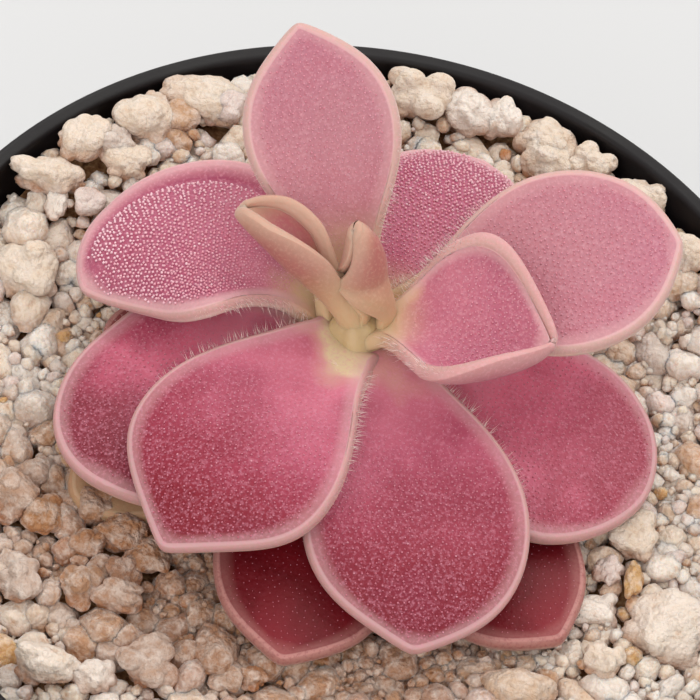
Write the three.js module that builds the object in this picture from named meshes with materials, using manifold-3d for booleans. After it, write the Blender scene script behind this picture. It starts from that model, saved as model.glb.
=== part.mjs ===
// A butterwort in a round nursery pot: a flat rosette of thick, spoon-shaped leaves on a short
// crown, standing in a bed of crushed quartz grit. Millimetres, +Z up. The origin is the middle
// of the pot's flat foot, and the pot's rim is centred above it.
import * as THREE from 'three';
import { mergeVertices } from 'three/addons/utils/BufferGeometryUtils.js';
import Module from 'manifold-3d';

const wasm = await Module();
wasm.setup();

// ---- driving dimensions ----------------------------------------------------------------
const RIM_RADIUS = 30;            // outside of the rim: a 6 cm pot
const RIM_HEIGHT = 50;            // height of the pot's lip above the table
const RIM_BAND = 4.5;             // depth of the thicker band under the lip
const LIP_WIDTH = 1.2;            // width of the lip, from outside to inside
const WALL_SLOPE = 0.18;          // how far the wall draws in for each millimetre down
const WALL_THICKNESS = 1.0;
const FLOOR_THICKNESS = 2.2;
const CHAMFER = 0.35;             // on the pot's foot and lip
const BAND_DRAFT = 0.2;           // the band is this much slimmer at its lower edge
const DRAIN_RADIUS = 2.5;
const DRAIN_CIRCLE = 12.5;        // the drain holes stand on this radius
const DRAIN_COUNT = 5;
const DRAIN_SIDES = 12;
const POT_SIDES = 60;

const GAP = 0.3;                  // clearance between one piece and the next
const BED_DROP = 4.6;             // level of the grit between its stones, below the rim
const BED_SIDES = 48;
const BED_RINGS = [24, 18, 12, 6];  // radii of the bed's rings of corners
const BED_WAVE = 0.25;            // half height of the bed's slow rise and fall
const BED_WAVE_TURN = [0.9, 0.8];   // its radians per millimetre along X and Y
const BACK_RISE = 1.7;            // the grit is heaped up this much at the back of the pot
const BACK_SPAN = [6, 20];        // between these places along Y
const BACK_EBB = [8, 22];         // and less so between these places along X
const BACK_LEFT_OVER = 0.25;      // share of the heap that is left past them

const CROWN = { x: -0.5, y: 5.0 };  // the plant stands a little behind the pot's middle
const CROWN_FOOT = -12;           // lower end of the crown, from the rim
const CROWN_SIDES = 20;

const LEAF_THICKNESS = 0.9;
const EDGE_ROUND = 0.25;          // how far the rounded edge stands out past the two faces
const ROLL_RAMP = 0.35;           // share of the length over which a blade's roll sets in
const CUP_RAMP = 0.8;             // and over which its cupping changes from foot to tip
const APEX_BLEND = 8;             // power that rounds the outline into its straight tip
const LEAF_RINGS = 12;            // cross-sections along a blade
const RING_CROWDING = 1.7;        // how much closer they stand towards the tip
const LEAF_COLUMNS = 6;           // facets across a plain blade
const FRAME_STEPS = 48;           // steps of the midrib's integration
const SECTION_STEPS = 24;         // steps of a cross-section's integration

const RED = 0xc4607f;
const PALE_RED = 0xd08a9a;
const DEEP_RED = 0x9c3048;
const PEACH = 0xcf9a86;
const TAN = 0xb98a5c;

// Each leaf. azimuth: direction of its foot, degrees from +X. foot: distance from the crown's
// axis. height: of the foot, from the rim. neck and width: across its narrow foot and its widest
// place, which is at the share `widest` of its length. rise: slope of the midrib at foot and tip.
// turn: heading of the midrib's foot against the azimuth. bend: how far the midrib turns sideways
// over its length. roll: tilt about the midrib, left side up. cupLeft, cupRight: slope of the
// margin against the midrib, at foot and tip. lipLeft and lipRight add a rolled margin: its angle,
// and the power that keeps it near the edge; lipStart is the power by which it grows along the
// blade. flare, shoulder and point shape the outline below and above the widest place; apex cuts
// the left and right margins straight towards the tip, at that much half width for each
// millimetre of length, where it isn't 0. A leaf that leaves one out takes it from COMMON.
const COMMON = {
  turn: 0, flare: 1.5, shoulder: 2.1, apex: [0, 0], lipLeft: [0, 5], lipRight: [0, 5],
  lipStart: 1.5, columns: LEAF_COLUMNS,
};
const LEAVES = [
  { name: 'leaf_back', color: PALE_RED, azimuth: 116, foot: 2.0, height: 3.8, length: 17.6,
    width: 9.4, neck: 2.4, widest: 0.62, rise: [49, 24], bend: 1, roll: -14,
    cupLeft: [30, 6], cupRight: [40, 6], flare: 2.2, point: 1.35, apex: [1.3, 1.3] },
  { name: 'leaf_back_right', color: RED, azimuth: 70, foot: 2.1, height: 1.1, length: 15.2,
    width: 11.0, neck: 2.2, widest: 0.6, rise: [35, -29], bend: -2, roll: -3,
    cupLeft: [30, -10], cupRight: [30, -10], point: 2 },
  { name: 'leaf_right', color: RED, azimuth: 26, foot: 1.9, height: 3.0, length: 19.1,
    width: 11.8, neck: 2.2, widest: 0.62, rise: [28, 6], bend: -10, roll: 12,
    cupLeft: [30, 4], cupRight: [30, 4], flare: 1.8, point: 1.7, apex: [2.2, 2.2] },
  { name: 'leaf_right_small', color: RED, azimuth: -4, foot: 1.6, height: 4.6, length: 11.0,
    width: 11.4, neck: 2.0, widest: 0.56, rise: [32, 5], bend: -6, roll: 23,
    cupLeft: [14, 6], cupRight: [30, 48], lipLeft: [100, 6], lipRight: [110, 2], lipStart: 0.8,
    flare: 1.4, point: 1.5, apex: [1.35, 0], columns: 10 },
  { name: 'leaf_young_left', color: PEACH, azimuth: 162, foot: 1.6, height: 5.3, length: 8.8,
    width: 6.0, neck: 1.7, widest: 0.5, rise: [44, 20], bend: -2, roll: 10,
    cupLeft: [100, 125], cupRight: [95, 97], lipRight: [100, 4], flare: 3.4, point: 1.5,
    columns: 8 },
  { name: 'leaf_young_middle', color: PEACH, azimuth: 60, turn: 30, foot: 1.45, height: 5.7,
    length: 5.9, width: 4.8, neck: 1.5, widest: 0.5, rise: [84, 42], bend: 100, roll: -110,
    cupLeft: [150, 165], cupRight: [150, 165], point: 1.8, columns: 10 },
  { name: 'leaf_left_upper', color: RED, azimuth: 139, foot: 2.3, height: 2.3, length: 18.6,
    width: 13.0, neck: 2.0, widest: 0.54, rise: [38, -36], bend: 95, roll: 4.5,
    cupLeft: [38, -10], cupRight: [34, -50], flare: 1.4, point: 1.45, columns: 8 },
  { name: 'leaf_left_lower', color: RED, azimuth: 202, foot: 2.1, height: 0.8, length: 17.4,
    width: 14.4, neck: 2.4, widest: 0.6, rise: [10, -10], bend: 50, roll: 2,
    cupLeft: [25, -15], cupRight: [25, -15], point: 2 },
  { name: 'leaf_front_left', color: RED, azimuth: 239, foot: 1.8, height: 3.4, length: 18.3,
    width: 13.6, neck: 3.0, widest: 0.6, rise: [17, -24], bend: 7, roll: 5,
    cupLeft: [25, -15], cupRight: [25, -15], flare: 1.2, point: 1.6, apex: [1.45, 1.45] },
  { name: 'leaf_front', color: RED, azimuth: 302, foot: 1.8, height: 1.9, length: 20.0,
    width: 13.7, neck: 2.6, widest: 0.6, rise: [13, -23], bend: -30, roll: -1,
    cupLeft: [25, -12], cupRight: [25, -12], flare: 1.4, point: 1.6, apex: [1.9, 1.9] },
  { name: 'leaf_right_lower', color: RED, azimuth: 348, foot: 2.3, height: 0.1, length: 18.0,
    width: 14.0, neck: 2.4, widest: 0.62, rise: [10, -13], bend: -15, roll: -2,
    cupLeft: [25, -10], cupRight: [25, -10], point: 1.8 },
  { name: 'leaf_under_front', color: DEEP_RED, azimuth: 269, foot: 2.4, height: -0.45,
    length: 19.0, width: 11.4, neck: 2.4, widest: 0.6, rise: [3, -11], bend: -4, roll: 0,
    cupLeft: [20, -10], cupRight: [20, -10], point: 1.8, apex: [1.7, 1.7] },
  { name: 'leaf_under_right', color: DEEP_RED, azimuth: 313, foot: 2.5, height: -2.0,
    length: 19.9, width: 10.9, neck: 2.4, widest: 0.6, rise: [2, -2], bend: 2, roll: 2,
    cupLeft: [20, -10], cupRight: [20, -10], point: 1.8, apex: [1.7, 1.7] },
  { name: 'leaf_under_left', color: DEEP_RED, azimuth: 186, foot: 2.3, height: -1.0,
    length: 13.4, width: 7.6, neck: 2.4, widest: 0.6, rise: [8, -7], bend: -10, roll: 1,
    cupLeft: [20, -10], cupRight: [20, -10], point: 1.8 },
  { name: 'leaf_under_back', color: DEEP_RED, azimuth: 106, foot: 2.4, height: -0.3,
    length: 9.0, width: 7.4, neck: 1.8, widest: 0.6, rise: [14, -14], bend: 3, roll: 0,
    cupLeft: [20, -10], cupRight: [20, -10], point: 1.8 },
  { name: 'leaf_under_back_right', color: DEEP_RED, azimuth: 42, foot: 2.4, height: -1.5,
    length: 11.5, width: 8.0, neck: 2.0, widest: 0.6, rise: [10, -12], bend: -2, roll: 0,
    cupLeft: [20, -10], cupRight: [20, -10], point: 1.8 },
  { name: 'leaf_withered', color: TAN, azimuth: 219, foot: 2.4, height: -2.4, length: 17.2,
    width: 7.6, neck: 2.2, widest: 0.62, rise: [2, -3], bend: -2, roll: 2,
    cupLeft: [10, 0], cupRight: [10, 0], point: 1.9 },
];

// The crown's outline: height from the rim, radius.
const CROWN_PROFILE = [
  [CROWN_FOOT, 0], [CROWN_FOOT, 1.0], [-9, 1.8], [-3, 2.05], [-1, 1.9], [0.6, 1.65],
  [2.0, 1.4], [3.0, 1.0], [3.6, 0.5], [5.2, 0.45], [5.2, 0],
];

// The largest stones: x, y, half length along X, half length along Y.
const BIG_STONES = [
  [21.5, -8.5, 2.7, 2.5], [18.5, -2, 1.7, 1.7], [17, -7.5, 1.7, 1.3], [17.5, -5, 1, 1],
  [19, -5.5, 0.7, 1.3], [18, -11.5, 1.3, 1.2], [13, -14.5, 2.3, 1.7], [-15.5, -19, 2.1, 1.3],
  [-12, -13.5, 1.9, 1], [-9.5, -17.5, 1.8, 1.7], [-5.5, -15.5, 1.6, 1.9], [-3, -17, 0.9, 0.8],
  [-12, -11.5, 1.2, 1.2], [-14.5, -10, 1.1, 1.2], [-19.5, -7.5, 1.6, 2], [-17.5, -8.5, 1.5, 1.3],
  [-18, -13.5, 1.5, 1.5], [-14.5, -13, 1.3, 1.5], [-12.5, -19, 1.3, 1.2], [-16.5, 21, 2.3, 2.3],
  [-13.5, 24, 2.9, 1.7], [-11.5, 22.5, 1.7, 1.7], [-14.5, 21, 1.3, 1.3], [-20, 18, 1.6, 2],
  [-18, 18, 1.5, 1.3], [-22.5, 15.5, 2.3, 1.3], [-19, 14, 1.1, 1.1], [-21, 13.5, 0.9, 1.1],
  [-22, 9, 2.4, 2.4], [-17, 17, 1.5, 1.3], [4, 25.5, 1.9, 1.9], [6, 26, 1.2, 1.7],
  [0.5, 25.5, 2.3, 1.9], [9.5, 26, 2, 1.2], [9.5, 24, 1.7, 1.6], [12.5, 25, 1.1, 1.1],
  [16, 22.5, 2.1, 1.8], [19.5, 18.5, 0.9, 1.3],
];
const STONE_COUNT = 170;          // places on the spiral that fills in the smaller stones
const SPIRAL_RADIUS = 27.5;
const GOLDEN_ANGLE = 137.508;
const STONE_SMALL = 1.0;          // half size of the smallest of them
const STONE_SPREAD = 0.9;         // and how much larger the largest is
const STONE_JITTER = 0.8;         // how far a stone strays from its place on the spiral
const STONE_SPACING = 0.8;        // closest two may stand, as a share of their summed half sizes
const STONE_FINE = 4.3;           // a stone longer than this has twice the facets
const STONE_ROUGH = [0.84, 1.1];  // range of a corner's distance, against an even stone's
const STONE_HEIGHT = 0.62;        // half height as a share of the two half lengths' sum
const STONE_DEPTH = 0.75;         // least half height, against how far it stands above the bed
const STONE_SEED = 41;
// Under the leaves the stones stay low. This ellipse in plan covers the rosette.
const ROSETTE = { x: 0, y: 1, rx: 20.5, ry: 19 };
const LOW_TOP = -3.45;            // highest stone under the leaves, from the rim
const HIGH_TOP = -1.9;            // usual top of the stones clear of them
const HEAP = 0.9;                 // how much higher a large stone stands
const HEAP_FROM = 1.2;            // half size from which a stone counts as large
const HIGHEST_TOP = -0.15;        // no stone stands higher than this
const TOP_SPREAD = 0.5;           // how much lower than its usual top a stone may lie
const HIDDEN_DEPTH = 6.5;         // further in under the leaves there are no stones

// ---- helpers ---------------------------------------------------------------------------
const radians = THREE.MathUtils.degToRad;

// A repeatable stream of numbers from 0 to 1.
function makeRandom(seed) {
  let state = seed >>> 0;
  return () => {
    state = (Math.imul(state, 1664525) + 1013904223) >>> 0;
    return state / 4294967296;
  };
}

// Merge shared corners and drop the triangles that collapse at a pole.
function welded(geometry) {
  const bare = new THREE.BufferGeometry();
  bare.setAttribute('position', geometry.getAttribute('position').clone());
  if (geometry.index) bare.setIndex(geometry.index.clone());
  const merged = mergeVertices(bare, 1e-4);
  const kept = [];
  for (let i = 0; i < merged.index.count; i += 3) {
    const [a, b, c] = [0, 1, 2].map((k) => merged.index.getX(i + k));
    if (a !== b && b !== c && c !== a) kept.push(a, b, c);
  }
  merged.setIndex(kept);
  return merged;
}

function toSolid(geometry) {
  const clean = welded(geometry);
  return new wasm.Manifold(new wasm.Mesh({
    numProp: 3,
    vertProperties: new Float32Array(clean.getAttribute('position').array),
    triVerts: new Uint32Array(clean.index.array),
  }));
}

function fromSolid(solid) {
  const mesh = solid.getMesh();
  const geometry = new THREE.BufferGeometry();
  geometry.setAttribute('position', new THREE.BufferAttribute(mesh.vertProperties, 3));
  geometry.setIndex(new THREE.BufferAttribute(mesh.triVerts, 1));
  geometry.computeVertexNormals();
  return geometry;
}

// A solid of revolution from (height, radius) pairs, both ends on the axis.
function turned(profile, sides) {
  const points = profile.map(([height, radius]) => new THREE.Vector2(radius, height));
  const geometry = welded(new THREE.LatheGeometry(points, sides));
  geometry.rotateX(Math.PI / 2);
  return geometry;
}

function upright(radius, low, high, sides) {
  const geometry = new THREE.CylinderGeometry(radius, radius, high - low, sides);
  geometry.rotateX(Math.PI / 2);
  geometry.translate(0, 0, (low + high) / 2);
  return geometry;
}

function mesh(name, geometry, color, roughness) {
  const material = new THREE.MeshStandardMaterial({ color, roughness, metalness: 0 });
  const piece = new THREE.Mesh(geometry, material);
  piece.name = name;
  return piece;
}

// ---- pot -------------------------------------------------------------------------------
const INSIDE_AT_LIP = RIM_RADIUS - LIP_WIDTH;
function insideRadius(height) {
  return INSIDE_AT_LIP - WALL_SLOPE * (RIM_HEIGHT - height);
}

function makePot() {
  const bandFoot = RIM_HEIGHT - RIM_BAND;
  const outside = (height) => insideRadius(height) + WALL_THICKNESS;
  const body = toSolid(turned([
    [0, 0],
    [0, outside(0) - CHAMFER],
    [CHAMFER, outside(0)],
    [bandFoot, outside(bandFoot)],
    [bandFoot + CHAMFER, RIM_RADIUS - BAND_DRAFT],
    [RIM_HEIGHT - CHAMFER, RIM_RADIUS],
    [RIM_HEIGHT, RIM_RADIUS - CHAMFER],
    [RIM_HEIGHT, INSIDE_AT_LIP + CHAMFER],
    [RIM_HEIGHT - CHAMFER, INSIDE_AT_LIP],
    [FLOOR_THICKNESS, insideRadius(FLOOR_THICKNESS)],
    [FLOOR_THICKNESS, 0],
  ], POT_SIDES));
  let pot = body;
  for (let k = 0; k < DRAIN_COUNT; k += 1) {
    const angle = (2 * Math.PI * k) / DRAIN_COUNT;
    const hole = upright(DRAIN_RADIUS, -1, FLOOR_THICKNESS + 1, DRAIN_SIDES);
    hole.translate(DRAIN_CIRCLE * Math.cos(angle), DRAIN_CIRCLE * Math.sin(angle), 0);
    pot = pot.subtract(toSolid(hole));
  }
  return mesh('pot', fromSolid(pot), 0x232124, 0.55);
}

// ---- grit ------------------------------------------------------------------------------
// One angular lump: an icosahedron, finer if large, with its corners moved in or out.
function makeStone(random, halfX, halfY, halfZ) {
  const detail = halfX + halfY > STONE_FINE ? 1 : 0;
  const geometry = welded(new THREE.IcosahedronGeometry(1, detail));
  const corner = geometry.getAttribute('position');
  for (let i = 0; i < corner.count; i += 1) {
    const stretch = THREE.MathUtils.lerp(...STONE_ROUGH, random());
    corner.setXYZ(i, corner.getX(i) * stretch, corner.getY(i) * stretch, corner.getZ(i) * stretch);
  }
  geometry.rotateZ(2 * Math.PI * random());
  geometry.scale(halfX, halfY, halfZ);
  return geometry;
}

// How much higher the grit lies here than at the front.
function backRise(x, y) {
  const { smoothstep, lerp } = THREE.MathUtils;
  return BACK_RISE * smoothstep(y, ...BACK_SPAN) * lerp(1, BACK_LEFT_OVER, smoothstep(x, ...BACK_EBB));
}

// How far outside the rosette's ellipse a stone lies: below 0 it reaches under the leaves.
function clearOfLeaves(x, y, size) {
  const along = Math.hypot((x - ROSETTE.x) / ROSETTE.rx, (y - ROSETTE.y) / ROSETTE.ry);
  return (along - 1) * ROSETTE.ry - size;
}

// Every stone as { x, y, halfX, halfY }: the large ones, then a spiral of smaller ones that
// skips the crown's hole, the hidden middle and the places already taken.
function stonePlaces(random) {
  const places = BIG_STONES.map(([x, y, halfX, halfY]) => ({ x, y, halfX, halfY }));
  for (let k = 0; k < STONE_COUNT; k += 1) {
    const radius = SPIRAL_RADIUS * Math.sqrt((k + 0.5) / STONE_COUNT);
    const angle = k * radians(GOLDEN_ANGLE);
    const halfX = STONE_SMALL + STONE_SPREAD * random() ** 2;
    const halfY = halfX * (0.75 + 0.4 * random());
    const x = radius * Math.cos(angle) + STONE_JITTER * (random() - 0.5);
    const y = radius * Math.sin(angle) + STONE_JITTER * (random() - 0.5);
    const hidden = clearOfLeaves(x, y, 0) < -HIDDEN_DEPTH;
    const taken = places.some((p) => Math.hypot(p.x - x, p.y - y)
      < STONE_SPACING * (Math.max(p.halfX, p.halfY) + halfX));
    if (!hidden && !taken) places.push({ x, y, halfX, halfY });
  }
  return places;
}

function makeGrit() {
  const random = makeRandom(STONE_SEED);
  const bedTop = RIM_HEIGHT - BED_DROP;
  const bedFoot = FLOOR_THICKNESS + GAP;
  const shoulder = insideRadius(bedTop) - GAP;
  const bed = turned([
    [bedFoot, 0], [bedFoot, insideRadius(bedFoot) - GAP], [bedTop, shoulder],
    ...BED_RINGS.map((radius) => [bedTop, radius]), [bedTop, 0],
  ], BED_SIDES);
  const corner = bed.getAttribute('position');
  for (let i = 0; i < corner.count; i += 1) {
    const [x, y] = [corner.getX(i), corner.getY(i)];
    const [turnX, turnY] = BED_WAVE_TURN;
    const inside = Math.hypot(x, y) < BED_RINGS[0] + 0.1;
    const wave = BED_WAVE * Math.sin(turnX * x + 0.5) * Math.cos(turnY * y - 0.3);
    const level = bedTop + backRise(x, y) + (inside ? wave : 0);
    if (corner.getZ(i) > bedTop - 0.1) corner.setZ(i, level);
  }
  const lumps = stonePlaces(random).map(({ x, y, halfX, halfY }) => {
    const size = Math.max(halfX, halfY);
    const free = clearOfLeaves(x, y, size) > 0;
    const heap = HEAP * THREE.MathUtils.clamp(size - HEAP_FROM, 0, 1);
    const usual = free ? HIGH_TOP + heap - TOP_SPREAD * random() : LOW_TOP;
    const top = RIM_HEIGHT + Math.min(HIGHEST_TOP, usual + backRise(x, y));
    const above = top - bedTop - backRise(x, y);
    const halfZ = Math.max(STONE_HEIGHT * (halfX + halfY), STONE_DEPTH * above);
    const reach = insideRadius(bedTop) - 2 * GAP - STONE_ROUGH[1] * size;
    const pull = Math.min(1, reach / Math.hypot(x, y));
    const stone = makeStone(random, halfX, halfY, halfZ);
    stone.translate(x * pull, y * pull, top - STONE_ROUGH[1] * halfZ);
    return toSolid(stone);
  });
  const widest = Math.max(...CROWN_PROFILE.map(([, radius]) => radius));
  const hole = upright(widest + GAP, RIM_HEIGHT + CROWN_FOOT - GAP, RIM_HEIGHT, CROWN_SIDES);
  hole.translate(CROWN.x, CROWN.y, 0);
  const grit = wasm.Manifold.union([toSolid(bed), ...lumps]).subtract(toSolid(hole));
  return mesh('grit', fromSolid(grit), 0xd8ccba, 0.8);
}

// ---- crown -----------------------------------------------------------------------------
function makeCrown() {
  const crown = mesh('crown', turned(CROWN_PROFILE, CROWN_SIDES), 0xb5a468, 0.6);
  crown.position.set(CROWN.x, CROWN.y, RIM_HEIGHT);
  return crown;
}

// ---- leaves ----------------------------------------------------------------------------
// Half the blade's width at the share t of its length.
function halfWidth(leaf, t) {
  const neck = leaf.neck / 2;
  const full = leaf.width / 2;
  if (t < leaf.widest) {
    const swell = Math.sin((Math.PI / 2) * (t / leaf.widest)) ** leaf.flare;
    return neck + (full - neck) * swell;
  }
  const past = (t - leaf.widest) / (1 - leaf.widest);
  return full * Math.max(0, 1 - past ** leaf.shoulder) ** (1 / leaf.point);
}

// The same with one side's margin cut straight towards the tip, rounded where the two meet.
function trimmedWidth(leaf, t, apex) {
  const half = halfWidth(leaf, t);
  const straight = apex * (1 - t) * leaf.length;
  if (half === 0 || straight === 0) return half;
  return (half ** -APEX_BLEND + straight ** -APEX_BLEND) ** (-1 / APEX_BLEND);
}

// Compass direction of the midrib at t.
function headingAt(leaf, t) {
  return radians(leaf.azimuth + leaf.turn + leaf.bend * t);
}

// Direction of the midrib at t: it climbs by `rise` and turns by `bend`.
function midribDirection(leaf, t) {
  const climb = radians(THREE.MathUtils.lerp(leaf.rise[0], leaf.rise[1], t));
  const heading = headingAt(leaf, t);
  return new THREE.Vector3(
    Math.cos(climb) * Math.cos(heading), Math.cos(climb) * Math.sin(heading), Math.sin(climb));
}

// The midrib's points at FRAME_STEPS equal steps, summed from its direction.
function midribPoints(leaf) {
  const foot = radians(leaf.azimuth);
  const at = new THREE.Vector3(leaf.foot * Math.cos(foot), leaf.foot * Math.sin(foot), leaf.height);
  const points = [at.clone()];
  for (let k = 0; k < FRAME_STEPS; k += 1) {
    at.addScaledVector(midribDirection(leaf, (k + 0.5) / FRAME_STEPS), leaf.length / FRAME_STEPS);
    points.push(at.clone());
  }
  return points;
}

// Half a cross-section of unit width: the slope grows from the midrib to the margin, and the
// curve is the sum of its steps. Returns place and slope at the share v.
function sectionAt(cup, lip, power, v) {
  const slope = (w) => cup * w + lip * w ** power;
  let across = 0;
  let up = 0;
  for (let k = 0; k < SECTION_STEPS; k += 1) {
    const w = (v * (k + 0.5)) / SECTION_STEPS;
    across += (Math.cos(slope(w)) * v) / SECTION_STEPS;
    up += (Math.sin(slope(w)) * v) / SECTION_STEPS;
  }
  return { across, up, slope: slope(v) };
}

// One closed loop round the blade at t: the upper face from right to left, the left edge, the
// lower face back, the right edge.
function bladeLoop(leaf, points, t) {
  const { columns } = leaf;
  const place = t * FRAME_STEPS;
  const step = Math.min(Math.floor(place), FRAME_STEPS - 1);
  const mid = points[step].clone().lerp(points[step + 1], place - step);
  const along = midribDirection(leaf, t);
  const heading = headingAt(leaf, t);
  const level = new THREE.Vector3(-Math.sin(heading), Math.cos(heading), 0);
  const above = new THREE.Vector3().crossVectors(along, level);
  const roll = radians(leaf.roll) * Math.min(1, t / ROLL_RAMP);
  const side = level.clone().multiplyScalar(Math.cos(roll)).addScaledVector(above, Math.sin(roll));
  const normal = above.clone().multiplyScalar(Math.cos(roll)).addScaledVector(level, -Math.sin(roll));
  const growth = Math.min(1, t / CUP_RAMP);
  const upper = [];
  const lower = [];
  const edges = [];
  for (let j = 0; j <= columns; j += 1) {
    const u = Math.sin((Math.PI / 2) * ((2 * j) / columns - 1));
    const left = u >= 0;
    const half = trimmedWidth(leaf, t, leaf.apex[left ? 0 : 1]);
    const cups = left ? leaf.cupLeft : leaf.cupRight;
    const [lipAngle, lipPower] = left ? leaf.lipLeft : leaf.lipRight;
    const cup = radians(THREE.MathUtils.lerp(cups[0], cups[1], growth));
    const lip = radians(lipAngle) * t ** leaf.lipStart;
    const { across, up, slope } = sectionAt(cup, lip, lipPower, Math.abs(u));
    const sign = left ? 1 : -1;
    const centre = mid.clone().addScaledVector(side, half * sign * across)
      .addScaledVector(normal, half * up);
    const out = normal.clone().multiplyScalar(Math.cos(slope))
      .addScaledVector(side, -sign * Math.sin(slope));
    upper.push(centre.clone().addScaledVector(out, LEAF_THICKNESS / 2));
    lower.push(centre.clone().addScaledVector(out, -LEAF_THICKNESS / 2));
    if (j === 0 || j === columns) {
      const outward = side.clone().multiplyScalar(sign * Math.cos(slope))
        .addScaledVector(normal, Math.sin(slope));
      edges.push(centre.clone().addScaledVector(outward, EDGE_ROUND));
    }
  }
  const ends = {
    top: mid.clone().addScaledVector(normal, LEAF_THICKNESS / 2),
    bottom: mid.clone().addScaledVector(normal, -LEAF_THICKNESS / 2),
    nose: mid.clone().addScaledVector(along, EDGE_ROUND),
  };
  return { loop: [...upper, edges[1], ...lower.reverse(), edges[0]], ends };
}

// A blade: loops joined one to the next, a flat end at the foot and a rounded one at the tip.
// Both faces are split along the same diagonal.
function makeLeaf(shape) {
  const leaf = { ...COMMON, ...shape };
  const { columns } = leaf;
  const points = midribPoints(leaf);
  const size = 2 * columns + 4;
  const corners = [];
  const faces = [];
  for (let i = 0; i < LEAF_RINGS; i += 1) {
    const t = 1 - (1 - i / LEAF_RINGS) ** RING_CROWDING;
    corners.push(...bladeLoop(leaf, points, t).loop);
  }
  const isLower = (j) => j > columns + 1 && j < size - 2;
  for (let i = 0; i + 1 < LEAF_RINGS; i += 1) {
    for (let j = 0; j < size; j += 1) {
      const next = (j + 1) % size;
      const [a, b] = [i * size + j, i * size + next];
      const [d, c] = [a + size, b + size];
      if (isLower(j)) faces.push(a, d, b, b, d, c);
      else faces.push(a, c, b, a, d, c);
    }
  }
  const { top, bottom, nose } = bladeLoop(leaf, points, 1).ends;
  const tip = corners.length;
  corners.push(top, bottom, nose);
  const endOf = (j) => {
    if (j <= columns) return tip;
    return j === columns + 1 || j === size - 1 ? tip + 2 : tip + 1;
  };
  const last = (LEAF_RINGS - 1) * size;
  for (let j = 0; j < size; j += 1) {
    const next = (j + 1) % size;
    faces.push(last + next, last + j, endOf(next));
    if (endOf(j) !== endOf(next)) faces.push(last + j, endOf(j), endOf(next));
  }
  for (let j = 0; j < columns; j += 1) {
    const [a, b] = [j, j + 1];
    const [c, d] = [2 * columns + 1 - j, 2 * columns + 2 - j];
    faces.push(a, b, d, b, c, d);
  }
  faces.push(columns, columns + 1, columns + 2);
  faces.push(0, size - 2, size - 1);
  const geometry = new THREE.BufferGeometry().setFromPoints(corners);
  geometry.setIndex(faces);
  geometry.computeVertexNormals();
  const piece = mesh(leaf.name, geometry, leaf.color, 0.5);
  piece.position.set(CROWN.x, CROWN.y, RIM_HEIGHT);
  return piece;
}

// ---- assembly --------------------------------------------------------------------------
const butterwort = new THREE.Group();
butterwort.name = 'butterwort';
butterwort.add(makePot(), makeGrit(), makeCrown());
for (const leaf of LEAVES) butterwort.add(makeLeaf(leaf));

export default butterwort;
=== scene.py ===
"""A small pink butterwort in a round black nursery pot, standing in crushed quartz grit.

Everything is worked out in millimetres with +Z up and turned to metres where a mesh is made.
The plant's own heights count from the pot's rim, as a grower would measure them.
"""

import functools
import math
from types import SimpleNamespace

import bmesh
import bpy
import numpy as np
from mathutils import Matrix


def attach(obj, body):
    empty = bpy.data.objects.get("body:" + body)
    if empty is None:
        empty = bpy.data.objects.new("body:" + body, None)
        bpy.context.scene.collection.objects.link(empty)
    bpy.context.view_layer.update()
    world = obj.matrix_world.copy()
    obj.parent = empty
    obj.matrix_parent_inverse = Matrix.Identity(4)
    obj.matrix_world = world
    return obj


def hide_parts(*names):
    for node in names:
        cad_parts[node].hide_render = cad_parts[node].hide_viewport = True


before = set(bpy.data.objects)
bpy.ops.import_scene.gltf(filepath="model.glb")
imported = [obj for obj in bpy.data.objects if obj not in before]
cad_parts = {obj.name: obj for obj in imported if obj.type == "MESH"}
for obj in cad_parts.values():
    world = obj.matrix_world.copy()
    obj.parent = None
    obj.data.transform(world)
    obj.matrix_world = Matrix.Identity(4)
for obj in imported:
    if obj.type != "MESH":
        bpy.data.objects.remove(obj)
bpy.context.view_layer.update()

MM = 0.001

# ---- driving dimensions, in millimetres ----
RIM_RADIUS = 30.0
RIM_HEIGHT = 50.0
RIM_BAND = 4.5
LIP_WIDTH = 1.2
WALL_SLOPE = 0.18
POT_WALL = 1.0
FLOOR = 2.2
DRAIN_RADIUS = 2.5
DRAIN_CIRCLE = 12.5
DRAIN_COUNT = 5

CROWN = np.array([-0.5, 5.0, RIM_HEIGHT])
LEAF_THICKNESS = 0.9

# ---- the leaves ----
# azimuth: direction of the foot, degrees from +X. foot: distance from the crown's axis. height:
# of the foot above the rim. width and neck: across the widest place, which is at the share
# `widest` of the length, and across the foot. rise: slope of the midrib at foot and tip. bend: how
# far it turns sideways. roll: tilt about the midrib, left side up. cup: slope of the margin against
# the midrib, at foot and tip of the left side, then of the right. turn: the midrib's heading at
# the foot against the azimuth. lip: a rolled margin's angle and the power that keeps it near the
# edge, left and right. lip_start: the power by which the roll sets in along the leaf. flare,
# shoulder and point shape the outline below and above the widest place. apex cuts the margins
# straight towards the tip. flesh: which leaf tissue. dew: spacing of the glands, 0 for none. bead:
# half width of a gland's head. clear: bare width along the margins. groove: depth of a groove along
# the right one. green: how short the green at the foot is. fuse: how much wider each half is at
# the foot. belly: extra width below the widest place. lift: how much higher the foot lies, which
# is soon lost along the leaf. apex, clear and belly count left, then right.
COMMON = dict(
    turn=0, flare=1.5, shoulder=2.1, point=1.8, apex=(0, 0), lip=(0, 5, 0, 5), lip_start=1.5,
    flesh="rose", dew=0.4, bead=(0.06, 0.08), clear=(0.6, 0.6), groove=0.0, green=1.0, fuse=0.9,
    belly=(0, 0), lift=0.0)
WET = dict(flesh="pink", dew=0.29, bead=(0.09, 0.12))
SHADED = dict(flesh="shade", apex=(1.7, 1.7), dew=0.5, bead=(0.03, 0.045))
COLUMNS = "azimuth foot height length width neck widest rise bend roll cup".split()
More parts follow.
